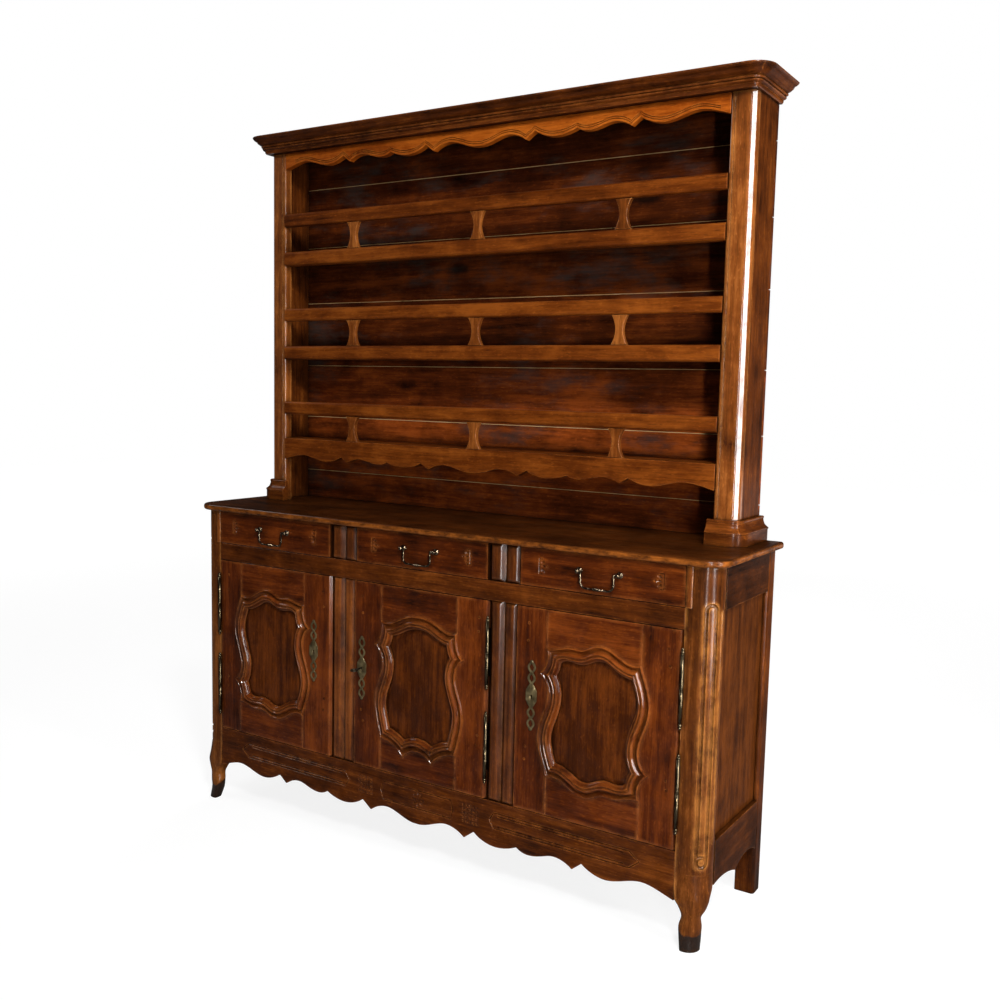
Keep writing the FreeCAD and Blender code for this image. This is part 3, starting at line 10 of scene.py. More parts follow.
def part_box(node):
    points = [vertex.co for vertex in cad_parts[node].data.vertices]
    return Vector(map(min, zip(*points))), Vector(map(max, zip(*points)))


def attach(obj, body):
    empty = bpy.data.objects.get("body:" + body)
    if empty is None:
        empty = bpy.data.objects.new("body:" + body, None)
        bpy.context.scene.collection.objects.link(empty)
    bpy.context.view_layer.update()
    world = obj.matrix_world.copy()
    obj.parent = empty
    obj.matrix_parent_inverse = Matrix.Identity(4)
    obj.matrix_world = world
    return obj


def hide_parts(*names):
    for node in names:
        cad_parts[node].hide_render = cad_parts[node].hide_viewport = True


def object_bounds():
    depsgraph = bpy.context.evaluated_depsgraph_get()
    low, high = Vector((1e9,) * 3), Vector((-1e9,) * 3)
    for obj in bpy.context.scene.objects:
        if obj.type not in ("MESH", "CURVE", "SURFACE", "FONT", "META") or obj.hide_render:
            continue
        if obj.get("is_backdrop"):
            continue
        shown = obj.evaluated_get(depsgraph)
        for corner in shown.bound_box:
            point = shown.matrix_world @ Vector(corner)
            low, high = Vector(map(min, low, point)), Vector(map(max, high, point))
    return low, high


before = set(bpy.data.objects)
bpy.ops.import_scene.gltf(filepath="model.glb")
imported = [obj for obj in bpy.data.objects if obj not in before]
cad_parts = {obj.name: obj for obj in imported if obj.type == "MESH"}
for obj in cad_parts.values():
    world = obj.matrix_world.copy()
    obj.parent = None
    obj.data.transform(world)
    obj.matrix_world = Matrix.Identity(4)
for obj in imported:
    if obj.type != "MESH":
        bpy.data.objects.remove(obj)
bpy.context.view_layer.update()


# Corner stiles: each front post and its cabriole foot are cut from one length of oak, rounded and
# reeded on the outer corner, and the toe is a dark hoof. The wood is stained and waxed for many
# years, and where hands pass its rounds are made paler, as wear and as painted highlight; its
# arrises were eased with a plane.
class Wire:
    """One output in a finish's node tree; sums written with it add Math nodes."""

    def __init__(self, finish, socket):
        self.finish = finish
        self.socket = socket

    def __add__(self, other):
        return self.finish.sum("ADD", self, other)

    def __sub__(self, other):
        return self.finish.sum("SUBTRACT", self, other)

    def __rsub__(self, other):
        return self.finish.sum("SUBTRACT", other, self)

    def __mul__(self, other):
        return self.finish.sum("MULTIPLY", self, other)

    def __truediv__(self, other):
        return self.finish.sum("DIVIDE", self, other)

    __radd__ = __add__
    __rmul__ = __mul__


class Finish:
    """The nodes of a material, or of the surround, with one method that adds any node."""

    def __init__(self, owner):
        self.owner = owner
        owner.use_nodes = True
        self.tree = owner.node_tree

    def node(self, kind, settings=None, sockets=None, out=0):
        """A new node with its settings, then its sockets; one of its outputs is given back."""
        made = self.tree.nodes.new(kind)
        for key, value in (settings or {}).items():
            if key == "stops":
                while len(made.color_ramp.elements) < len(value):
                    made.color_ramp.elements.new(1)
                for element, (place, colour) in zip(made.color_ramp.elements, value):
                    element.position = place
                    element.color = colour
            else:
                setattr(made, key, value)
        for key, value in (sockets or {}).items():
            self.join(made.inputs[key], value)
        return Wire(self, made.outputs[out])

    def join(self, socket, value):
        """Link a wire to a socket, or set a plain value on it."""
        if isinstance(value, Wire):
            self.tree.links.new(value.socket, socket)
        else:
            socket.default_value = value

    def sum(self, operation, *values):
        sockets = dict(enumerate(values))
        return self.node("ShaderNodeMath", {"operation": operation}, sockets)

    def span(self, value, low, high, to_low=0.0, to_high=1.0):
        """A value's stretch from low to high, eased and clamped to new ends."""
        return self.node(
            "ShaderNodeMapRange",
            {"interpolation_type": "SMOOTHSTEP"},
            {"Value": value, 1: low, 2: high, 3: to_low, 4: to_high},
        )

    def scaled(self, vector, x, y, z):
        settings = {"operation": "MULTIPLY"}
        return self.node("ShaderNodeVectorMath", settings, {0: vector, 1: (x, y, z)})

    def axis(self, vector, place):
        """The x, y or z of a vector, by its place from 0."""
        return self.node("ShaderNodeSeparateXYZ", None, {0: vector}, out=place)

    def noise(self, vector, scale, detail=3.0, rough=0.55, twist=0.0):
        sockets = {
            "Vector": vector,
            "Scale": scale,
            "Detail": detail,
            "Roughness": rough,
            "Distortion": twist,
        }
        return self.node("ShaderNodeTexNoise", None, sockets)

    def mix(self, share, first, second, blend="MIX"):
        settings = {"data_type": "RGBA", "blend_type": blend}
        return self.node("ShaderNodeMix", settings, {0: share, 6: first, 7: second}, out=2)

    def bump(self, height, strength, distance):
        sockets = {"Strength": strength, "Distance": distance, "Height": height}
        return self.node("ShaderNodeBump", None, sockets)

    def rounding(self, radius):
        """How far the surface turns within this radius: nought on a flat, more near an arris."""
        softened = self.node("ShaderNodeBevel", {"samples": 4}, {"Radius": radius})
        true = self.node("ShaderNodeNewGeometry", out=1)
        settings = {"operation": "DOT_PRODUCT"}
        return 1 - self.node("ShaderNodeVectorMath", settings, {0: softened, 1: true}, out=1)

    def openness(self, distance):
        """One in the open, falling to nought in a corner that other wood shuts in this closely."""
        settings = {"samples": 4}
        return self.node("ShaderNodeAmbientOcclusion", settings, {"Distance": distance}, out=1)

    def shade(self, **sockets):
        """Join values to the shader's sockets, named with _ for each space."""
        shader = self.tree.nodes["Principled BSDF"]
        for key, value in sockets.items():
            self.join(shader.inputs[key.replace("_", " ")], value)
        return self.owner


def rgb(red, green, blue):
    """A colour read off as 0 to 255, made linear."""
    parts = [c / 255 for c in (red, green, blue)]
    return (*[p / 12.92 if p < 0.04045 else ((p + 0.055) / 1.055) ** 2.4 for p in parts], 1)


def old_oak(
    name, dark, middle, light, worn_and_lit,
    polish=1.0, sheen=0.2, coat=1.5, wear_and_highlight=1.0, handled_and_highlit=0.0, nose=0.0,
    knots=0.0, bloom=0.0, paler_below=0.0, hoof=0.0,
):
    """Oak with its figure, pores and fibres along each board, soil and painted shade in corners, and
    edges lightened as wear and painted highlight.

    polish, sheen and coat are the wax. The wear, handling and nose strengths lighten arrises, rounds
    and a top's front edge: wear, and on arrises and rounds painted highlight too. Knots, bloom and
    the lower-board gain mark plain boards; that gain makes boards paler below about 1.5 m. hoof is
    the height of a foot's dark horn.
    """
    f = Finish(bpy.data.materials.new(name))
    grain = f.node("ShaderNodeAttribute", {"attribute_name": "grain"}, out=1)
    tone = f.node("ShaderNodeAttribute", {"attribute_name": "tone"}, out=2)
    where = f.node("ShaderNodeTexCoord", out=3)

    def along(run, across):
        return f.scaled(grain, run, across, across)

    # The figure, from the broad bands of the log down to single fibres.
    band = f.noise(along(1.6, 22.0), 1.0, 4.0, 0.55, 1.4)
    patch = f.noise(where, 5.0, 5.0, 0.62, 0.5)
    mottle = f.noise(along(9.0, 34.0), 1.0, 4.0, 0.68, 0.4)
    streak = f.noise(along(4.0, 95.0), 1.0, 3.0, 0.6)
    fibre = f.noise(along(14.0, 420.0), 1.0, 3.0, 0.6)
    pores = f.span(f.noise(along(30.0, 800.0), 1.0, 1.0), 0.62, 0.72)
    fleck = f.span(f.noise(along(75.0, 190.0), 1.0, 1.0), 0.60, 0.74)
    shares = (0.85, 1.1, 0.75, 0.45, 0.4)
    figure = tone
    for pattern, share in zip((band, patch, mottle, streak, fibre), shares):
        figure = figure + pattern * share
    figure = figure / sum(shares) + 0.018 + fleck * 0.045
    stops = [(0.40, dark), (0.51, middle), (0.625, light)]
    colour = f.node("ShaderNodeValToRGB", {"stops": stops}, {0: figure})
    # Boards below about 1.5 m are made paler by a colour gain.
    if paler_below:
        gain = (paler_below, paler_below * 0.97, paler_below * 0.9, 1)
        lower_boards = f.span(f.axis(where, 2), 1.46, 1.60, 1.0, 0.0)
        colour = f.mix(lower_boards, colour, gain, "MULTIPLY")
    pore_brown = (0.010, 0.004, 0.002, 1)
    colour = f.mix(pores * 0.55, colour, pore_brown)
    if knots:
        knot_black = (0.006, 0.003, 0.002, 1)
        cells = {"Vector": along(2.2, 6.5), "Scale": 1.0, "Randomness": 1.0}
        knot = f.node("ShaderNodeTexVoronoi", {"feature": "F1"}, cells)
        ragged = knot + f.noise(where, 45.0, 3.0) * 0.10
        colour = f.mix(f.span(ragged, 0.09, 0.22, knots, 0.0), colour, knot_black)
    if bloom:
        dust_grey = (0.042, 0.042, 0.038, 1)
        cloud = f.span(f.noise(f.scaled(where, 2.2, 2.2, 6.0), 1.0, 5.0, 0.7), 0.50, 0.70)
        colour = f.mix(cloud * bloom, colour, dust_grey)

    # Wear and painted highlight: arrises are lightened to pale wood where nothing shelters them,
    # which stands for rubbed wood and also paints the highlight along them; handled rounds are
    # lightened the same way, as wear and painted highlight.
    hollow = f.openness(0.02)
    shaped = f.span(f.rounding(0.016), 0.004, 0.06)
    broken = f.span(f.noise(where, 38.0, 4.0, 0.7), 0.36, 0.66)
    lightened = f.span(f.rounding(0.005), 0.015, 0.20) * hollow * broken
    if nose:
        upward = f.axis(f.node("ShaderNodeNewGeometry", out=1), 2)
        ragged = f.span(f.noise(f.scaled(where, 26.0, 26.0, 70.0), 1.0, 5.0, 0.75), 0.30, 0.75)
        lightened = f.sum("MAXIMUM", lightened, f.span(upward, 0.2, 0.9, nose, 0.0) * ragged)
    if handled_and_highlit:
        touched_and_highlit = shaped * f.span(f.noise(where, 16.0, 4.0, 0.65), 0.34, 0.66) * handled_and_highlit
        lightened = f.sum("MAXIMUM", lightened, touched_and_highlit)
    colour = f.mix(lightened * wear_and_highlight, colour, worn_and_lit)

    # Soil packed in the corners, darkened there also as painted shade, and a broader painted shade
    # over what stands back, broken up by patches.
    soil_and_shade_black, recess_shade_brown = (0.006, 0.003, 0.001, 1), (0.010, 0.004, 0.001, 1)
    soil_and_shade = f.span(hollow, 0.20, 0.85, 1.0, 0.0)
    colour = f.mix(soil_and_shade * 0.75, colour, soil_and_shade_black)
    # Painted shade: colour darkened where other wood closes round a place within about 9 cm.
    recess_shade = f.span(f.openness(0.09) + (patch - 0.5) * 0.3, 0.35, 0.95, 0.55, 0.0)
    colour = f.mix(recess_shade, colour, recess_shade_brown)

    # Wax, thicker on rounds and on the horn of a hoof.
    gloss = f.noise(where, 19.0, 4.0, 0.65)
    wax = f.span(gloss, 0.30, 0.70, 0.10, 0.32) * polish + lightened * 0.25 + shaped * 0.45 * polish
    if hoof:
        horn_black, toe_reach = (0.009, 0.005, 0.003, 1), 0.76
        x, y, z = (f.axis(where, i) for i in range(3))
        toeward = (f.sum("ABSOLUTE", x) - y) * math.sqrt(0.5) - toe_reach
        edge_height = z + f.noise(where, 26.0, 2.0) * 0.03 + toeward * 0.55
        horn = f.span(edge_height, hoof + 0.008, hoof + 0.014, 1.0, 0.0)
        colour = f.mix(horn * 0.92, colour, horn_black)
        wax = wax + horn
    relief = fibre * 0.35 - pores * 0.9 + f.noise(where, 30.0, 3.0) * 0.9
    return f.shade(
        Base_Color=colour,
        Roughness=0.46 + (gloss - 0.5) * 0.3 + pores * 0.1 + soil_and_shade * 0.2,
        Specular_IOR_Level=0.02,
        Coat_Weight=f.sum("MINIMUM", wax, 1.0) * (1 - soil_and_shade) * (1 - pores * 0.6),
        Coat_Roughness=sheen,
        Coat_IOR=coat,
        Normal=f.bump(relief, 0.5, 0.0012),
    )


def packed(node):
    """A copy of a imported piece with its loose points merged."""
    same_place = 1e-5
    bm = bmesh.new()
    bm.from_mesh(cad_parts[node].data)
    bmesh.ops.remove_doubles(bm, verts=bm.verts, dist=same_place)
    return bm


def eased(node, ease, cant=0.0, arrises=()):
    """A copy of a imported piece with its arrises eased.

    The upright arrises at the given x, y places are first planed to a flat cant.
    """
    level, outward, on_place = math.radians(0.5), math.radians(38), 1e-4
    bm = packed(node)
    bmesh.ops.dissolve_limit(bm, angle_limit=level, verts=bm.verts, edges=bm.edges)
    planed = [
        e for e in bm.edges
        if any(all((v.co.xy - Vector(place)).length < on_place for v in e.verts) for place in arrises)
    ]
    if planed:
        bmesh.ops.bevel(bm, geom=planed, offset=cant, segments=1, affect="EDGES", clamp_overlap=True)
    if ease:
        sharp = [
            e for e in bm.edges
            if len(e.link_faces) == 2 and e.calc_face_angle_signed(0) > outward
        ]
        bmesh.ops.bevel(
            bm, geom=sharp, offset=ease, segments=2, profile=0.5, affect="EDGES", clamp_overlap=True
        )
    return bm


def made_from(name, bm):
    """A new object in the scene with a working mesh's shape."""
    mesh = bpy.data.meshes.new(name)
    bm.to_mesh(mesh)
    bm.free()
    made = bpy.data.objects.new(name, mesh)
    bpy.context.scene.collection.objects.link(made)
    return made


def fitted(made, finish, body, nodes):
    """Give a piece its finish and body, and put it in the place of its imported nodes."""
    made.data.materials.append(finish)
    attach(made, body)
    if nodes:
        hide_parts(*nodes)


def single_boards(bm):
    """Each run of joined faces, which is one board of a piece."""
    done = set()
    for start in bm.faces:
        if start.index in done:
            continue
        board, waiting = [], [start]
        done.add(start.index)
        while waiting:
            face = waiting.pop()
            board.append(face)
            for edge in face.edges:
                if len(edge.link_faces) != 2:
                    continue
                for other in edge.link_faces:
                    if other.index not in done:
                        done.add(other.index)
                        waiting.append(other)
        yield board


def boards(piece, bm, finish, body, slot, *nodes, carving=False):
    """The finished mesh of a wooden piece, each board cut from its own place in a log."""
    log_reach, tone_reach = 9, 0.15
    bend = math.radians(12 if carving else 48)
    bm.normal_update()
    grain = bm.loops.layers.float_vector.new("grain")
    tone = bm.faces.layers.float.new("tone")
    bm.faces.ensure_lookup_table()
    for board in single_boards(bm):
        places = [v.co for face in board for v in face.verts]
        spread = [max(p[i] for p in places) - min(p[i] for p in places) for i in range(3)]
        longest_first = sorted(range(3), key=lambda i: -spread[i])
        chance = random.Random(f"{piece} {min(face.index for face in board)}")
        offset = Vector([chance.uniform(-log_reach, log_reach) for _ in range(3)])
        shade = chance.uniform(-tone_reach, tone_reach)
        for face in board:
            face[tone] = shade
            face.smooth = True
            for loop in face.loops:
                loop[grain] = Vector([loop.vert.co[i] for i in longest_first]) + offset
    for line in bm.edges:
        line.smooth = len(line.link_faces) == 2 and line.calc_face_angle(0) < bend
    made = made_from(piece, bm)
    if not carving:
        steady = made.modifiers.new("even_shading", "WEIGHTED_NORMAL")
        steady.keep_sharp = True
    fitted(made, finish, body, nodes)


def worked(piece, node, finish, ease=0.0016, body="carcass", slot="oak"):
    """A plain wooden piece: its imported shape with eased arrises."""
    boards(piece, eased(node, ease), finish, body, slot, node)


corner_oak = old_oak(
    "waxed_oak_corners",
    rgb(46, 20, 5), rgb(94, 47, 14), rgb(150, 86, 34), rgb(218, 140, 62),
    polish=1.5, hoof=0.052, handled_and_highlit=0.7,
)
worked("corner_posts", "corner_stiles", corner_oak, ease=0.001)

# Rear stiles, side rails and side panels: the framed oak ends of the base, mortised and pegged
# together, with each panel loose in its grooves so that it can shrink and swell.
carcass_oak = old_oak(
    "waxed_oak_carcass",
    rgb(42, 17, 4), rgb(90, 42, 11), rgb(140, 74, 24), rgb(196, 112, 44),
)
# The end rails and panels take a darker copy of the carcass oak, as painted shade on the sides.
shaded_oak = old_oak(
    "waxed_oak_base_ends_painted_darker",
    rgb(28, 11, 3), rgb(63, 29, 8), rgb(104, 53, 17), rgb(190, 108, 42), polish=0.5,
)
worked("rear_posts", "rear_stiles", carcass_oak)
worked("end_rails", "side_rails", shaded_oak)
worked("end_panels", "side_panels", shaded_oak)


# Middle stiles, drawer dividers and the rail between them: the front frame of the base, in oak,
# mortised together. Each post is worked as two canted bands with a groove between them, and the
# cants shine with wax.
def banded_post(bm, low, high):
    """A post worked as two bands with a groove between, canted along both sides and at the ends."""
    slope, flat, ease, end = 0.87, 0.375, 0.125, 0.014
    columns, end_rows = 16, 6

    def fall(share):
        """The drop from a band's flat middle, at nought, to its edge, at one."""
        past = max(0.0, share - flat)
        return slope * (past * past / (2 * ease) if past < ease else past - ease / 2)

    across = [i / columns for i in range(2 * columns + 1)]
    steps = [end * k / end_rows for k in range(end_rows + 1)]
    along = [low[2] + step for step in steps] + [high[2] - step for step in reversed(steps)]
    half_band = (high[0] - low[0]) / 4
    grid = []
    for z in along:
        near_end = max(0.0, 1 - min(z - low[2], high[2] - z) / end)
        row = []
        for share in across:
            from_middle = 2 * abs(share % 1.0 - 0.5)
            depth = max(half_band * fall(from_middle), end * fall(near_end))
            x = low[0] + (high[0] - low[0]) * share / 2
            row.append(bm.verts.new((x, low[1] + depth, z)))
        grid.append(row)
    for here, there in zip(grid, grid[1:]):
        for i in range(len(across) - 1):
            bm.faces.new((here[i], here[i + 1], there[i + 1], there[i]))
    right_side = [row[-1] for row in grid[1:]]
    left_side = [row[0] for row in grid[-2:0:-1]]
    rim = grid[0] + right_side + grid[-1][-2::-1] + left_side
    rear = [bm.verts.new((v.co.x, high[1], v.co.z)) for v in rim]
    for i in range(len(rim)):
        k = (i + 1) % len(rim)
        bm.faces.new((rim[i], rim[k], rear[k], rear[i]))
    bm.faces.new(rear)


rail_low, rail_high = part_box("middle_rail")
front = rail_low[1]
posts_low, posts_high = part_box("front_muntins")
between_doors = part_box("door_middle_stiles")[1][0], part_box("door_right_stiles")[0][0]
between_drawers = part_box("drawer_middle_front")[1][0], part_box("drawer_right_front")[0][0]
post_clearance = 0.002
bm = bmesh.new()
for hand in (-1, 1):
    for gap, bottom, top in (
        (between_doors, posts_low[2], rail_low[2]),
        (between_drawers, rail_high[2], posts_high[2]),
    ):
        start, stop = sorted(hand * x for x in gap)
        low = start + post_clearance, posts_low[1], bottom
        high = stop - post_clearance, posts_high[1], top
        banded_post(bm, low, high)
bmesh.ops.recalc_face_normals(bm, faces=bm.faces)
# The bands' rounds are lightened as wear and painted highlight.
band_oak = old_oak(
    "waxed_oak_bands",
    rgb(42, 17, 4), rgb(90, 42, 11), rgb(140, 74, 24), rgb(206, 124, 54),
    polish=1.7, sheen=0.18, coat=1.75, handled_and_highlit=0.4,
)
boards("middle_posts", bm, band_oak, "carcass", "oak", "front_muntins")
worked("drawer_rail", "middle_rail", carcass_oak)

# Scalloped apron: one oak rail sawn to scallops below and tenoned into the corner stiles. Its face
# is carved with a gouge and a V tool: a rosette between two chequered squares, and cut outlines.
cut_proud = 0.0006


def groove(cutter, points, width, depth, surface, closed=False):
    """A V-cut along a line of x, z places on a front, added to the carver's cuts."""
    side = width / 2 * (depth + cut_proud) / depth
    count = len(points)
    rows = []
    for i, (x, z) in enumerate(points):
        ahead = points[(i + 1) % count] if closed or i + 1 < count else points[i]
        behind = points[i - 1] if closed or i else points[i]
        run = Vector((ahead[0] - behind[0], ahead[1] - behind[1])).normalized() * side
        rows.append(
            [
                cutter.verts.new((x - run.y, surface - cut_proud, z + run.x)),
                cutter.verts.new((x + run.y, surface - cut_proud, z - run.x)),
                cutter.verts.new((x, surface + depth, z)),
            ]
        )
    for i in range(count if closed else count - 1):
        here, there = rows[i], rows[(i + 1) % count]
        for a, b in ((0, 1), (1, 2), (2, 0)):
            cutter.faces.new((here[a], here[b], there[b], there[a]))
    if not closed:
        cutter.faces.new(rows[0])
        cutter.faces.new(rows[-1])


def chip(cutter, x, z, length, width, turn, depth, surface, sides=8):
    """One gouged chip with a pointed bottom, its length turned from upright."""
    swell = (depth + cut_proud) / depth
    rim = []
    for i in range(sides):
        angle = math.tau * i / sides
        across = math.sin(angle) * width / 2 * swell
        along = math.cos(angle) * length / 2 * swell
        place = (
            x + across * math.cos(turn) + along * math.sin(turn),
            surface - cut_proud,
            z + along * math.cos(turn) - across * math.sin(turn),
        )
        rim.append(cutter.verts.new(place))
    bottom = cutter.verts.new((x, surface + depth, z))
    cutter.faces.new(rim)
    for i, here in enumerate(rim):
        cutter.faces.new((here, rim[(i + 1) % sides], bottom))


def carved(piece, node, cutter, finish, ease=0.0016, body="carcass"):
    """A wooden piece with the carver's cuts taken out of it."""
    on_surface, nothing = 0.0002, 1e-6
    bmesh.ops.recalc_face_normals(cutter, faces=cutter.faces)
    plain = made_from("plain_board", eased(node, ease))
    cuts = made_from("carver_cuts", cutter)
    cutting = plain.modifiers.new("carving", "BOOLEAN")
    cutting.operation = "DIFFERENCE"
    cutting.solver = "EXACT"
    cutting.use_self = True
    cutting.object = cuts
    settled = plain.evaluated_get(bpy.context.evaluated_depsgraph_get())
    bm = bmesh.new()
    bm.from_mesh(settled.to_mesh())
    settled.to_mesh_clear()
    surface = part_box(node)[0][1]
    for v in bm.verts:
        if abs(v.co.y - surface) < on_surface:
            v.co.y = surface
    bmesh.ops.dissolve_degenerate(bm, dist=nothing, edges=bm.edges)
    for made in (plain, cuts):
        bpy.data.meshes.remove(made.data)
    boards(piece, bm, finish, body, "oak", node, carving=True)


cuts = bmesh.new()
square_x, square_z, square_rows = 0.200, 0.201, 5
check_pitch, check_side, check_depth = 0.0122, 0.0112, 0.0032
line_width, line_depth = 0.0042, 0.003
side_lines = (
    [(0.282, 0.226), (0.716, 0.226), (0.746, 0.203), (0.716, 0.179), (0.282, 0.179), (0.268, 0.203)],
    [(0.296, 0.218), (0.700, 0.218)],
    [(0.296, 0.187), (0.700, 0.187)],
)
for hand in (-1, 1):
    for column in range(square_rows):
        for row in range(square_rows):
            x = hand * square_x + (column - square_rows // 2) * check_pitch
            z = square_z + (row - square_rows // 2) * check_pitch
            chip(cuts, x, z, check_side, check_side, math.pi / 4, check_depth, front, sides=4)
    for points in side_lines:
        run = [(hand * x, z) for x, z in points]
        groove(cuts, run, line_width, line_depth, front, closed=len(points) > 2)
middle_line = [
    (-0.129, 0.228), (0.129, 0.228), (0.137, 0.200), (0.129, 0.171), (-0.129, 0.171), (-0.137, 0.200),
]
groove(cuts, middle_line, line_width, line_depth, front, closed=True)
rosette_x, rosette_z, petals, petal_reach = 0.006, 0.200, 8, 0.0175
petal_length, petal_width, petal_depth = 0.0155, 0.0085, 0.0036
eye_size, eye_depth = 0.008, 0.002
for petal in range(petals):
    turn = math.tau * petal / petals
    x, z = rosette_x + petal_reach * math.sin(turn), rosette_z + petal_reach * math.cos(turn)
    chip(cuts, x, z, petal_length, petal_width, turn, petal_depth, front)
chip(cuts, rosette_x, rosette_z, eye_size, eye_size, 0, eye_depth, front)
carved("scalloped_apron", "apron_rail", cuts, carcass_oak)

# Back boards, cupboard floor, inner shelf, cleats and drawer runners: sawn oak that nobody was
# meant to see. The back boards are stained and the rest is left bare; all are nailed in place.
dull_oak = old_oak(
    "stained_back_boards",
    rgb(30, 11, 4), rgb(72, 30, 9), rgb(118, 55, 18), rgb(140, 80, 36),
    polish=0.14, wear_and_highlight=0.5, knots=0.9, bloom=0.7, paler_below=2.1,
)
bare_oak = old_oak(
    "bare_oak",
    rgb(120, 88, 58), rgb(168, 130, 90), rgb(188, 152, 108), rgb(196, 162, 120),
    polish=0.2, wear_and_highlight=0.4, knots=0.5,
)
worked("base_back", "base_back_boards", dull_oak, slot="oak_boards")
worked("cupboard_bottom", "cupboard_floor", bare_oak, slot="oak_inside")
worked("inner_shelf", "cupboard_shelf", bare_oak, slot="oak_inside")
worked("shelf_bearers", "shelf_cleats", bare_oak, slot="oak_inside")
worked("drawer_ways", "drawer_runners", bare_oak, slot="oak_inside")

# Top board: one wide oak top with rounded front corners, laid over the frame and pegged down. Its
# nosed edge is rubbed to bright wood.
top_oak = old_oak(
    "worn_oak_top",
    rgb(36, 16, 4), rgb(72, 35, 10), rgb(112, 58, 19), rgb(206, 116, 42), nose=0.6,
)
worked("base_top", "top_board", top_oak, slot="oak_top")

# Doors: each is a frame of stiles and rails with a stuck moulding mitred at the corners, round a
# fielded panel. This oak was stained redder than the carcass. The arris on the right edge of each
# door is planed to a cant.
# The doors' rounds are lightened as wear and painted highlight.
door_oak = old_oak(
    "waxed_oak_doors",
    rgb(36, 12, 3), rgb(86, 35, 8), rgb(134, 63, 18), rgb(196, 112, 46),
    polish=1.8, sheen=0.13, handled_and_highlit=0.35,
)
panel_oak = old_oak(
    "waxed_oak_panels",
    rgb(34, 12, 3), rgb(72, 31, 7), rgb(120, 58, 15), rgb(190, 104, 40), polish=1.3, knots=0.5,
)
sides = "left", "middle", "right"
door_ease, door_cant = 0.0007, 0.0075
for side in sides:
    body = f"door_{side}"
    right_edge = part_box(f"{body}_stiles")[1][0], front
    bm = eased(f"{body}_stiles", door_ease, door_cant, [right_edge])
    boards(f"{body}_uprights", bm, door_oak, body, "oak", f"{body}_stiles")
    worked(f"{body}_crosspieces", f"{body}_rails", door_oak, door_ease, body)
    worked(f"{body}_field", f"{body}_panel", panel_oak, door_ease, body)


# Pegs: cleft oak pegs driven through the joints of the doors stand a little proud of the frame.
# They are set out as points, and one peg shape is set on each point.
def set_out(name, places, radius, proud, seed, finish):
    """A working mesh of short round pegs on a front at these places, each leaning by chance."""
    corners, lean_up, lean_aside = 9, 0.05, 0.06
    group = bpy.data.node_groups.new(name, "GeometryNodeTree")
    sockets = {}
    for label, kind, way in (
        ("Places", "NodeSocketGeometry", "INPUT"),
        ("Peg radius", "NodeSocketFloat", "INPUT"),
        ("Peg length", "NodeSocketFloat", "INPUT"),
        ("Seed", "NodeSocketInt", "INPUT"),
        ("Material", "NodeSocketMaterial", "INPUT"),
        ("Pegs", "NodeSocketGeometry", "OUTPUT"),
    ):
        socket = group.interface.new_socket(name=label, in_out=way, socket_type=kind)
        sockets[label] = socket.identifier
    given = group.nodes.new("NodeGroupInput")
    peg = group.nodes.new("GeometryNodeMeshCylinder")
    peg.inputs["Vertices"].default_value = corners
    turned = group.nodes.new("FunctionNodeRandomValue")
    turned.data_type = "FLOAT_VECTOR"
    turned.inputs[0].default_value = (math.pi / 2 - lean_up, -lean_aside, 0)
    turned.inputs[1].default_value = (math.pi / 2 + lean_up, lean_aside, 0)
    standing = group.nodes.new("GeometryNodeInstanceOnPoints")
    real = group.nodes.new("GeometryNodeRealizeInstances")
    painted = group.nodes.new("GeometryNodeSetMaterial")
    result = group.nodes.new("NodeGroupOutput")
    for start, end in (
        (given.outputs["Places"], standing.inputs["Points"]),
        (given.outputs["Peg radius"], peg.inputs["Radius"]),
        (given.outputs["Peg length"], peg.inputs["Depth"]),
        (given.outputs["Seed"], turned.inputs["Seed"]),
        (given.outputs["Material"], painted.inputs["Material"]),
        (peg.outputs["Mesh"], standing.inputs["Instance"]),
        (turned.outputs[0], standing.inputs["Rotation"]),
        (standing.outputs[0], real.inputs[0]),
        (real.outputs[0], painted.inputs["Geometry"]),
        (painted.outputs[0], result.inputs["Pegs"]),
    ):
        group.links.new(start, end)
    points = bpy.data.meshes.new(name)
    points.from_pydata(places, [], [])
    holder = bpy.data.objects.new(name, points)
    bpy.context.scene.collection.objects.link(holder)
    rows = holder.modifiers.new("peg_rows", "NODES")
    rows.node_group = group
    rows[sockets["Peg radius"]] = radius
    rows[sockets["Peg length"]] = 2 * proud
    rows[sockets["Seed"]] = seed
    rows[sockets["Material"]] = finish
    settled = holder.evaluated_get(bpy.context.evaluated_depsgraph_get())
    shaped = bpy.data.meshes.new_from_object(settled)
    bm = bmesh.new()
    bm.from_mesh(shaped)
    for made in (points, shaped):
        bpy.data.meshes.remove(made)
    return bm


peg_radius, peg_proud, peg_inset, peg_stray = 0.0046, 0.0009, 0.034, 0.006
pegs_from_top, pegs_from_bottom = (0.050, 0.098), (0.185, 0.150)
for number, side in enumerate(sides):
    body = f"door_{side}"
    low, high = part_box(f"{body}_stiles")
    chance = random.Random(number)
    places = []
    for z in [high[2] - down for down in pegs_from_top] + [low[2] + up for up in pegs_from_bottom]:
        for x in (low[0] + peg_inset, high[0] - peg_inset):
            strayed_x = x + chance.uniform(-peg_stray, peg_stray)
            strayed_z = z + chance.uniform(-peg_stray, peg_stray)
            places.append((strayed_x, front, strayed_z))
    pegs = set_out(f"{body}_peg_places", places, peg_radius, peg_proud, number, panel_oak)
    boards(f"{body}_pegs", pegs, panel_oak, body, "oak")


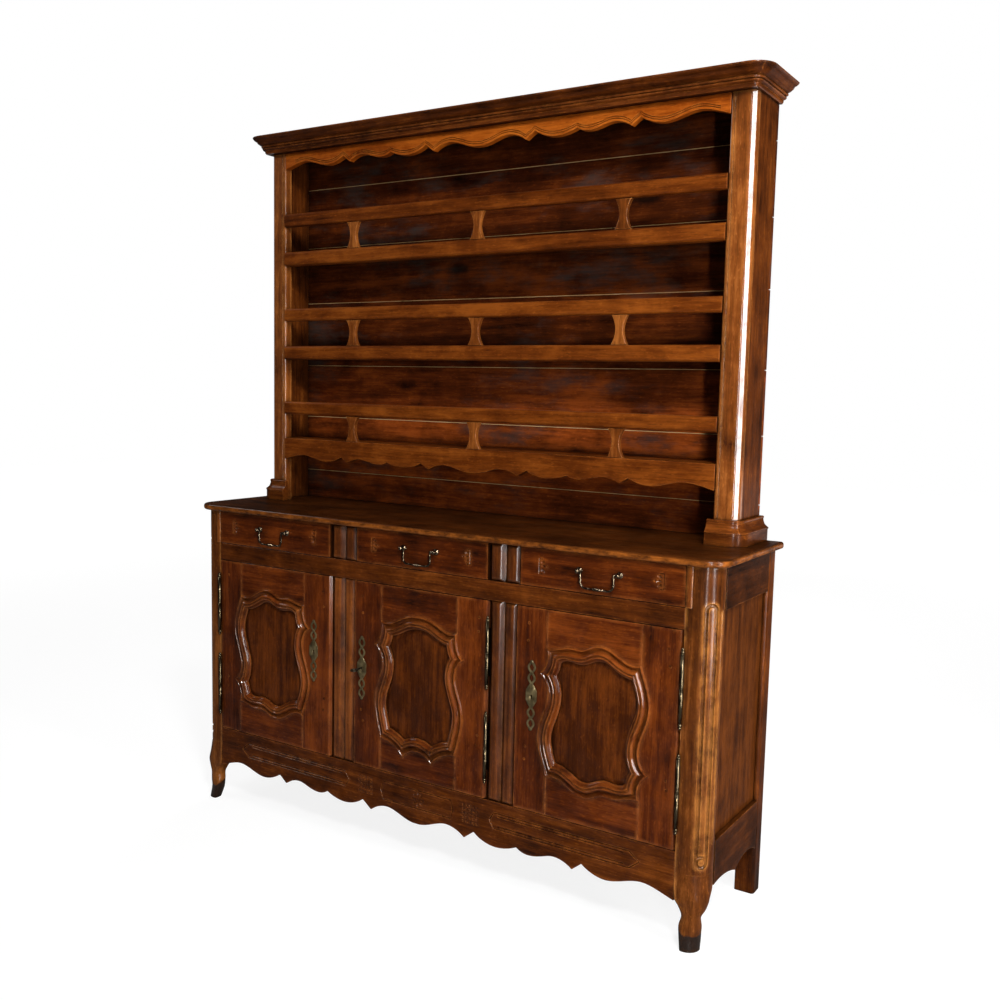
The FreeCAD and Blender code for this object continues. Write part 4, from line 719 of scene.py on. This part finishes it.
# Hinges, key plates, locks and key: forged iron and steel, filed, pinned to the wood. Some of it is
# rubbed bright and the rest has gone dull and brown.
def old_iron(name, dull, bright, rough, shine, metal=1.0, rusty=0.4):
    """Iron with dull and bright clouds, edges rubbed bright and specks of brown rust."""
    f = Finish(bpy.data.materials.new(name))
    where = f.node("ShaderNodeTexCoord", out=3)
    cloud = f.noise(where, 48.0, 4.0, 0.6)
    speck = f.noise(where, 620.0, 3.0, 0.6)
    lightened = f.span(f.rounding(0.0018), 0.01, 0.22)
    colour = f.mix(f.span(cloud, 0.30, 0.70) * shine + lightened * 0.4, dull, bright)
    rust = f.span(speck * 0.6 + cloud * 0.4, 0.54, 0.70) * rusty
    colour = f.mix(rust, colour, rgb(52, 34, 22))
    return f.shade(
        Base_Color=colour,
        Metallic=metal - rust,
        Roughness=rough + (cloud - 0.5) * (rusty * 0.5) + rust * 0.5,
        Normal=f.bump(speck * 0.4 + cloud, 0.3 * rusty, 0.0003),
    )


def forged(piece, node, finish, body):
    """A metal piece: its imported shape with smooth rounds."""
    bend = math.radians(40)
    bm = packed(node)
    for face in bm.faces:
        face.smooth = True
    made = made_from(piece, bm)
    made.data.set_sharp_from_angle(angle=bend)
    fitted(made, finish, body, [node])


hinge_steel = old_iron("hinge_steel", rgb(92, 80, 60), rgb(150, 132, 100), 0.25, 0.3, rusty=0.1)
plate_iron = old_iron("plate_iron", rgb(92, 79, 52), rgb(170, 150, 106), 0.34, 0.6, metal=0.6)
key_iron = old_iron("key_iron", rgb(54, 46, 36), rgb(110, 100, 84), 0.34, 0.5)
forged("hinge_stile_halves", "hinge_pins", hinge_steel, "carcass")
for side in sides:
    body = f"door_{side}"
    forged(f"{body}_hinge_halves", f"{body}_knuckles", hinge_steel, body)
    forged(f"{body}_scutcheon", f"{body}_key_plate", plate_iron, body)
    forged(f"{body}_lock", f"{body}_lock_case", plate_iron, body)
    forged(f"{body}_bolt", f"{body}_lock_bolt", plate_iron, f"bolt_{side}")
forged("door_key", "key", key_iron, "key")

# Drawers: oak fronts with a small palmette carved at both ends, bare oak boxes behind, and a
# swinging iron bail on two posts with round plates, riveted through the front.
handle_iron = old_iron("handle_iron", rgb(84, 70, 54), rgb(164, 146, 120), 0.22, 0.5)
front_ease, box_ease = 0.0012, 0.0008
mark_in, mark_up = 0.060, 0.058
bracket_arm, bracket_half, bracket_width, bracket_depth = 0.011, 0.021, 0.0036, 0.0026
lobe_reach, lobe_back, lobe_pitch, lobe_turn = 0.0135, 0.002, 0.0115, 0.55
lobe_length, lobe_width, lobe_depth = 0.0155, 0.0100, 0.0046
bud_reach, bud_length, bud_width, bud_depth = 0.0255, 0.0075, 0.0055, 0.003
sideways = math.pi / 2
for side in sides:
    body = f"drawer_{side}"
    low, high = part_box(f"{body}_front")
    cuts = bmesh.new()
    for end, hand in ((low[0], 1), (high[0], -1)):
        x, z = end + hand * mark_in, low[2] + mark_up
        tip = x + hand * bracket_arm
        above, below = z + bracket_half, z - bracket_half
        bracket = [(tip, above), (x, above), (x, below), (tip, below)]
        groove(cuts, bracket, bracket_width, bracket_depth, low[1])
        for lobe in (-1, 0, 1):
            lobe_x = x + hand * (lobe_reach - lobe_back * abs(lobe))
            turn = sideways - hand * lobe * lobe_turn
            place = lobe_x, z + lobe * lobe_pitch
            chip(cuts, *place, lobe_length, lobe_width, turn, lobe_depth, low[1], sides=10)
        chip(cuts, x + hand * bud_reach, z, bud_length, bud_width, sideways, bud_depth, low[1])
    carved(f"{body}_face", f"{body}_front", cuts, door_oak, front_ease, body)
    worked(f"{body}_tray", f"{body}_box", bare_oak, box_ease, body, "oak_inside")
    forged(f"{body}_posts", f"{body}_handle_posts", handle_iron, body)
    forged(f"{body}_handle", f"{body}_bail", handle_iron, f"bail_{side}")

# Half-round strips beside the outer drawers: thin oak beads planed to a low round and glued to the
# corner posts; their arrises are lightened as wear and painted highlight.
post_oak = old_oak(
    "waxed_oak_posts",
    rgb(62, 27, 7), rgb(116, 59, 19), rgb(168, 98, 40), rgb(216, 140, 66), polish=1.3,
)
strip_width, strip_rise, strip_steps = 0.017, 0.0035, 10
strip_clearance, strip_top_clearance = 0.001, 0.0005
strip_bottom = rail_high[2] + strip_clearance
strip_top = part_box("top_board")[0][2] - strip_top_clearance
bm = bmesh.new()
for hand in (-1, 1):
    rows = []
    for step in range(strip_steps + 1):
        angle = math.pi * step / strip_steps
        across = strip_clearance + strip_width * (1 - math.cos(angle)) / 2
        x = hand * (rail_high[0] + across)
        y = front - strip_rise * math.sin(angle)
        rows.append([bm.verts.new((x, y, z)) for z in (strip_bottom, strip_top)])
    for here, there in zip(rows, rows[1:]):
        bm.faces.new((here[0], there[0], there[1], here[1]))
    bm.faces.new([row[0] for row in rows])
    bm.faces.new([row[1] for row in rows])
    bm.faces.new((rows[0][0], rows[0][1], rows[-1][1], rows[-1][0]))
bmesh.ops.recalc_face_normals(bm, faces=bm.faces)
boards("drawer_end_strips", bm, post_oak, "carcass", "oak")

# Plate rack: front stiles, side boards and the plinth mouldings nailed round their feet. Both front
# corners of each oak stile were planed to a flat cant, the outer one wide, and have been rubbed and
# waxed to a shine. The stiles are given a lighter oak than the carcass as painted highlight, and
# their rounds are lightened as wear and painted highlight.
lightened_rack_post_oak = old_oak(
    "waxed_oak_rack_posts_painted_lighter",
    rgb(66, 29, 8), rgb(126, 66, 23), rgb(180, 106, 45), rgb(222, 146, 70),
    polish=4.0, sheen=0.13, coat=1.8, handled_and_highlit=0.4,
)
end_oak = old_oak(
    "waxed_oak_ends",
    rgb(46, 19, 5), rgb(94, 45, 13), rgb(140, 76, 26), rgb(196, 112, 44), polish=0.5,
)
low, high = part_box("rack_stiles")
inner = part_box("rack_frieze")[1][0]
inner_cant, corner_round, eighth = 0.0055, 0.026, math.pi / 4
bm = eased("rack_stiles", 0, inner_cant, [(inner, low[1]), (-inner, low[1])])
for v in bm.verts:
    out, back = high[0] - abs(v.co.x), v.co.y - low[1]
    if out < corner_round and back < corner_round:
        arm = Vector((corner_round - out, corner_round - back))
        swing = math.atan2(arm.x, arm.y)
        nearest = round(swing / eighth) * eighth
        arm *= corner_round / math.cos(swing - nearest) / arm.length
        v.co.x = math.copysign(high[0] - corner_round + arm.x, v.co.x)
        v.co.y = low[1] + corner_round - arm.y
boards("rack_posts", bm, lightened_rack_post_oak, "carcass", "oak", "rack_stiles")
worked("rack_ends", "rack_side_boards", end_oak)
worked("rack_plinth", "rack_plinth_mouldings", carcass_oak, ease=0.0006)

# Rack back boards: wide horizontal oak planks, nailed on, stained but never waxed, the lower ones
# made paler. They have shrunk apart, and in each open joint the pale loose tongue between two
# planks shows.
worked("rack_back", "rack_back_boards", dull_oak, slot="oak_boards")
tongue_oak = old_oak(
    "pale_tongues",
    rgb(150, 108, 66), rgb(196, 154, 102), rgb(222, 184, 132), rgb(224, 190, 140),
    polish=0.2, wear_and_highlight=0.3,
)
back_low, back_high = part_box("rack_back_boards")
widest_joint, tongue_depth, tongue_proud = 0.004, 0.004, 0.0004
tongue_length, tongue_fill = 0.998, 0.98
heights = sorted({round(v.co.z, 4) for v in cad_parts["rack_back_boards"].data.vertices})
bm = bmesh.new()
for below, above in zip(heights, heights[1:]):
    if above - below < widest_joint:
        for v in bmesh.ops.create_cube(bm, size=1)["verts"]:
            along = v.co.x * tongue_length + 0.5
            v.co.x = along * (back_high[0] - back_low[0]) + back_low[0]
            v.co.y = back_low[1] - tongue_proud + (v.co.y + 0.5) * tongue_depth
            v.co.z = (below + above) / 2 + v.co.z * (above - below) * tongue_fill
boards("rack_back_tongues", bm, tongue_oak, "carcass", "oak_boards")

# Plate shelves: oak boards housed in the side boards, with rounded fronts nailed on. Guard rails run
# above them on flat hourglass balusters sawn from thin oak.
shelf_oak = old_oak(
    "waxed_oak_shelves",
    rgb(50, 20, 4), rgb(98, 45, 11), rgb(142, 74, 22), rgb(190, 108, 42), polish=0.35,
)
worked("plate_shelves", "rack_shelves", carcass_oak)
worked("plate_shelf_fronts", "rack_shelf_fronts", shelf_oak, ease=0.001)
worked("plate_guard_rails", "rack_guard_rails", shelf_oak, ease=0.001)
worked("plate_balusters", "rack_balusters", post_oak)

# Frieze, dust board and cornice: the scalloped oak board under the top, with two lines cut along
# its edge, the board over it, and the run moulding, mitred at the corners, that caps the rack.
frieze_oak = old_oak(
    "waxed_oak_frieze",
    rgb(82, 31, 6), rgb(144, 66, 13), rgb(188, 98, 26), rgb(212, 124, 46), polish=0.5,
)
low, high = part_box("rack_frieze")
scallops_below, on_front, digits = 0.02, 1e-5, 5
line_end, line_rises, line_width, line_depth = 0.004, (0.008, 0.0135), 0.003, 0.0022
edge = sorted(
    {
        (round(v.co.x, digits), round(v.co.z, digits))
        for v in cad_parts["rack_frieze"].data.vertices
        if abs(v.co.y - low[1]) < on_front and v.co.z < high[2] - scallops_below
    }
)
cuts = bmesh.new()
for rise in line_rises:
    run = [(x, z + rise) for x, z in edge if abs(x) < high[0] - line_end]
    groove(cuts, run, line_width, line_depth, low[1])
carved("scalloped_frieze", "rack_frieze", cuts, frieze_oak)
worked("dust_cover", "rack_dust_board", dull_oak, slot="oak_boards")
worked("run_cornice", "rack_cornice", carcass_oak, ease=0.0006)

# Room: a white surround and a pale matt floor that keeps the shadow. The camera sees both as white,
# and so does gloss that looks to the far side, while only a little of the white lights the wood.
scene = bpy.context.scene
scene.view_settings.view_transform = "Standard"


def ray(f, kind):
    return f.node("ShaderNodeLightPath", out=f"Is {kind} Ray")


def seen(f, far_side):
    """One for what is seen straight or through glass, and for gloss that looks to the far side."""
    straight = f.sum("MAXIMUM", ray(f, "Camera"), ray(f, "Transmission"))
    return f.sum("MAXIMUM", straight, ray(f, "Glossy") * far_side)


scene.world = bpy.data.worlds.new("white_surround")
surround = Finish(scene.world)
fill, gloss_loss = 0.13, 0.8
look = surround.node("ShaderNodeTexCoord")
white = seen(surround, surround.span(surround.axis(look, 1), 0.985, 0.999))
dimmed = fill * (1 - ray(surround, "Glossy") * gloss_loss)
background = surround.tree.nodes["Background"]
surround.join(background.inputs["Strength"], white * (1 - fill) + dimmed)
background.inputs["Color"].default_value = (1, 1, 1, 1)

floor_finish = Finish(bpy.data.materials.new("pale_floor"))
floor_finish.shade(Base_Color=(0.24, 0.24, 0.24, 1), Roughness=0.9, Specular_IOR_Level=0.0)
spot = floor_finish.node("ShaderNodeTexCoord", out=3)
shown = seen(floor_finish, floor_finish.span(floor_finish.axis(spot, 1), 5.0, 9.0))
far = floor_finish.node("ShaderNodeVectorMath", {"operation": "LENGTH"}, {0: spot}, out=1)
strength = shown * floor_finish.span(far, 2.5, 7.0, 0.85, 0.97)
glow = floor_finish.node("ShaderNodeEmission", None, {"Strength": strength})
matt = Wire(floor_finish, floor_finish.tree.nodes["Principled BSDF"].outputs[0])
both = floor_finish.node("ShaderNodeAddShader", None, {0: matt, 1: glow})
floor_finish.join(floor_finish.tree.nodes["Material Output"].inputs["Surface"], both)
reach = 14.0
corners = [(-reach, -reach, 0), (reach, -reach, 0), (reach, reach, 0), (-reach, reach, 0)]
floor_mesh = bpy.data.meshes.new("room_floor")
floor_mesh.from_pydata(corners, [], [(0, 1, 2, 3)])
floor_mesh.materials.append(floor_finish.owner)
floor = bpy.data.objects.new("room_floor", floor_mesh)
scene.collection.objects.link(floor)
floor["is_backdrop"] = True


# Lamps: soft boxes on stands. The main one is high on the right, a tall strip and a low tall one
# draw the shine along the cants, and weak ones fill the left side and the back.
def softbox(name, place, target, width, height, watts):
    """A flat lamp turned to its target, which lights the wood but isn't seen itself."""
    lamp = bpy.data.lights.new(name, "AREA")
    lamp.shape = "RECTANGLE"
    lamp.size = width
    lamp.size_y = height
    lamp.energy = watts
    made = bpy.data.objects.new(name, lamp)
    made.location = place
    aim = Vector(target) - Vector(place)
    made.rotation_euler = aim.to_track_quat("-Z", "Y").to_euler()
    made.visible_camera = False
    scene.collection.objects.link(made)


softbox("lamp_right", (2.55, -2.55, 3.6), (0, 0, 1.1), 0.6, 0.6, 115)
softbox("lamp_strip", (2.46, -0.56, 1.55), (0.87, 0.05, 1.55), 0.26, 2.5, 38)
softbox("lamp_front", (2.75, -2.75, 1.0), (0.1, -0.2, 0.6), 0.2, 2.0, 50)
softbox("lamp_left", (-3.3, -0.9, 3.3), (-0.6, 0, 1.0), 1.0, 1.0, 16)
softbox("lamp_back", (-1.4, 3.6, 3.0), (0, 0.25, 1.1), 1.6, 1.6, 70)

# Camera: it stands where the photograph was taken, to the right of the dresser at about eye height,
# turned to the left, tipped down and leaning a little.
eye = Vector((1.8594, -2.6678, 1.4559))
turn, tip, lean = (math.radians(angle) for angle in (32.6176, 6.1335, 1.276))
film, focus = 36, 1.04697
right = Vector((math.cos(turn), math.sin(turn), 0))
ahead = Vector((-math.sin(turn) * math.cos(tip), math.cos(turn) * math.cos(tip), -math.sin(tip)))
up = right.cross(ahead)
leaning_right = right * math.cos(lean) + up * math.sin(lean)
leaning_up = up * math.cos(lean) - right * math.sin(lean)
view = bpy.data.cameras.new("photo_camera")
view.sensor_width = film
view.lens = film * focus
camera = bpy.data.objects.new("photo_camera", view)
axes = Matrix((leaning_right, leaning_up, -ahead)).transposed()
camera.matrix_world = Matrix.Translation(eye) @ axes.to_4x4()
scene.collection.objects.link(camera)
scene.camera = camera

bpy.context.view_layer.update()
low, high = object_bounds()
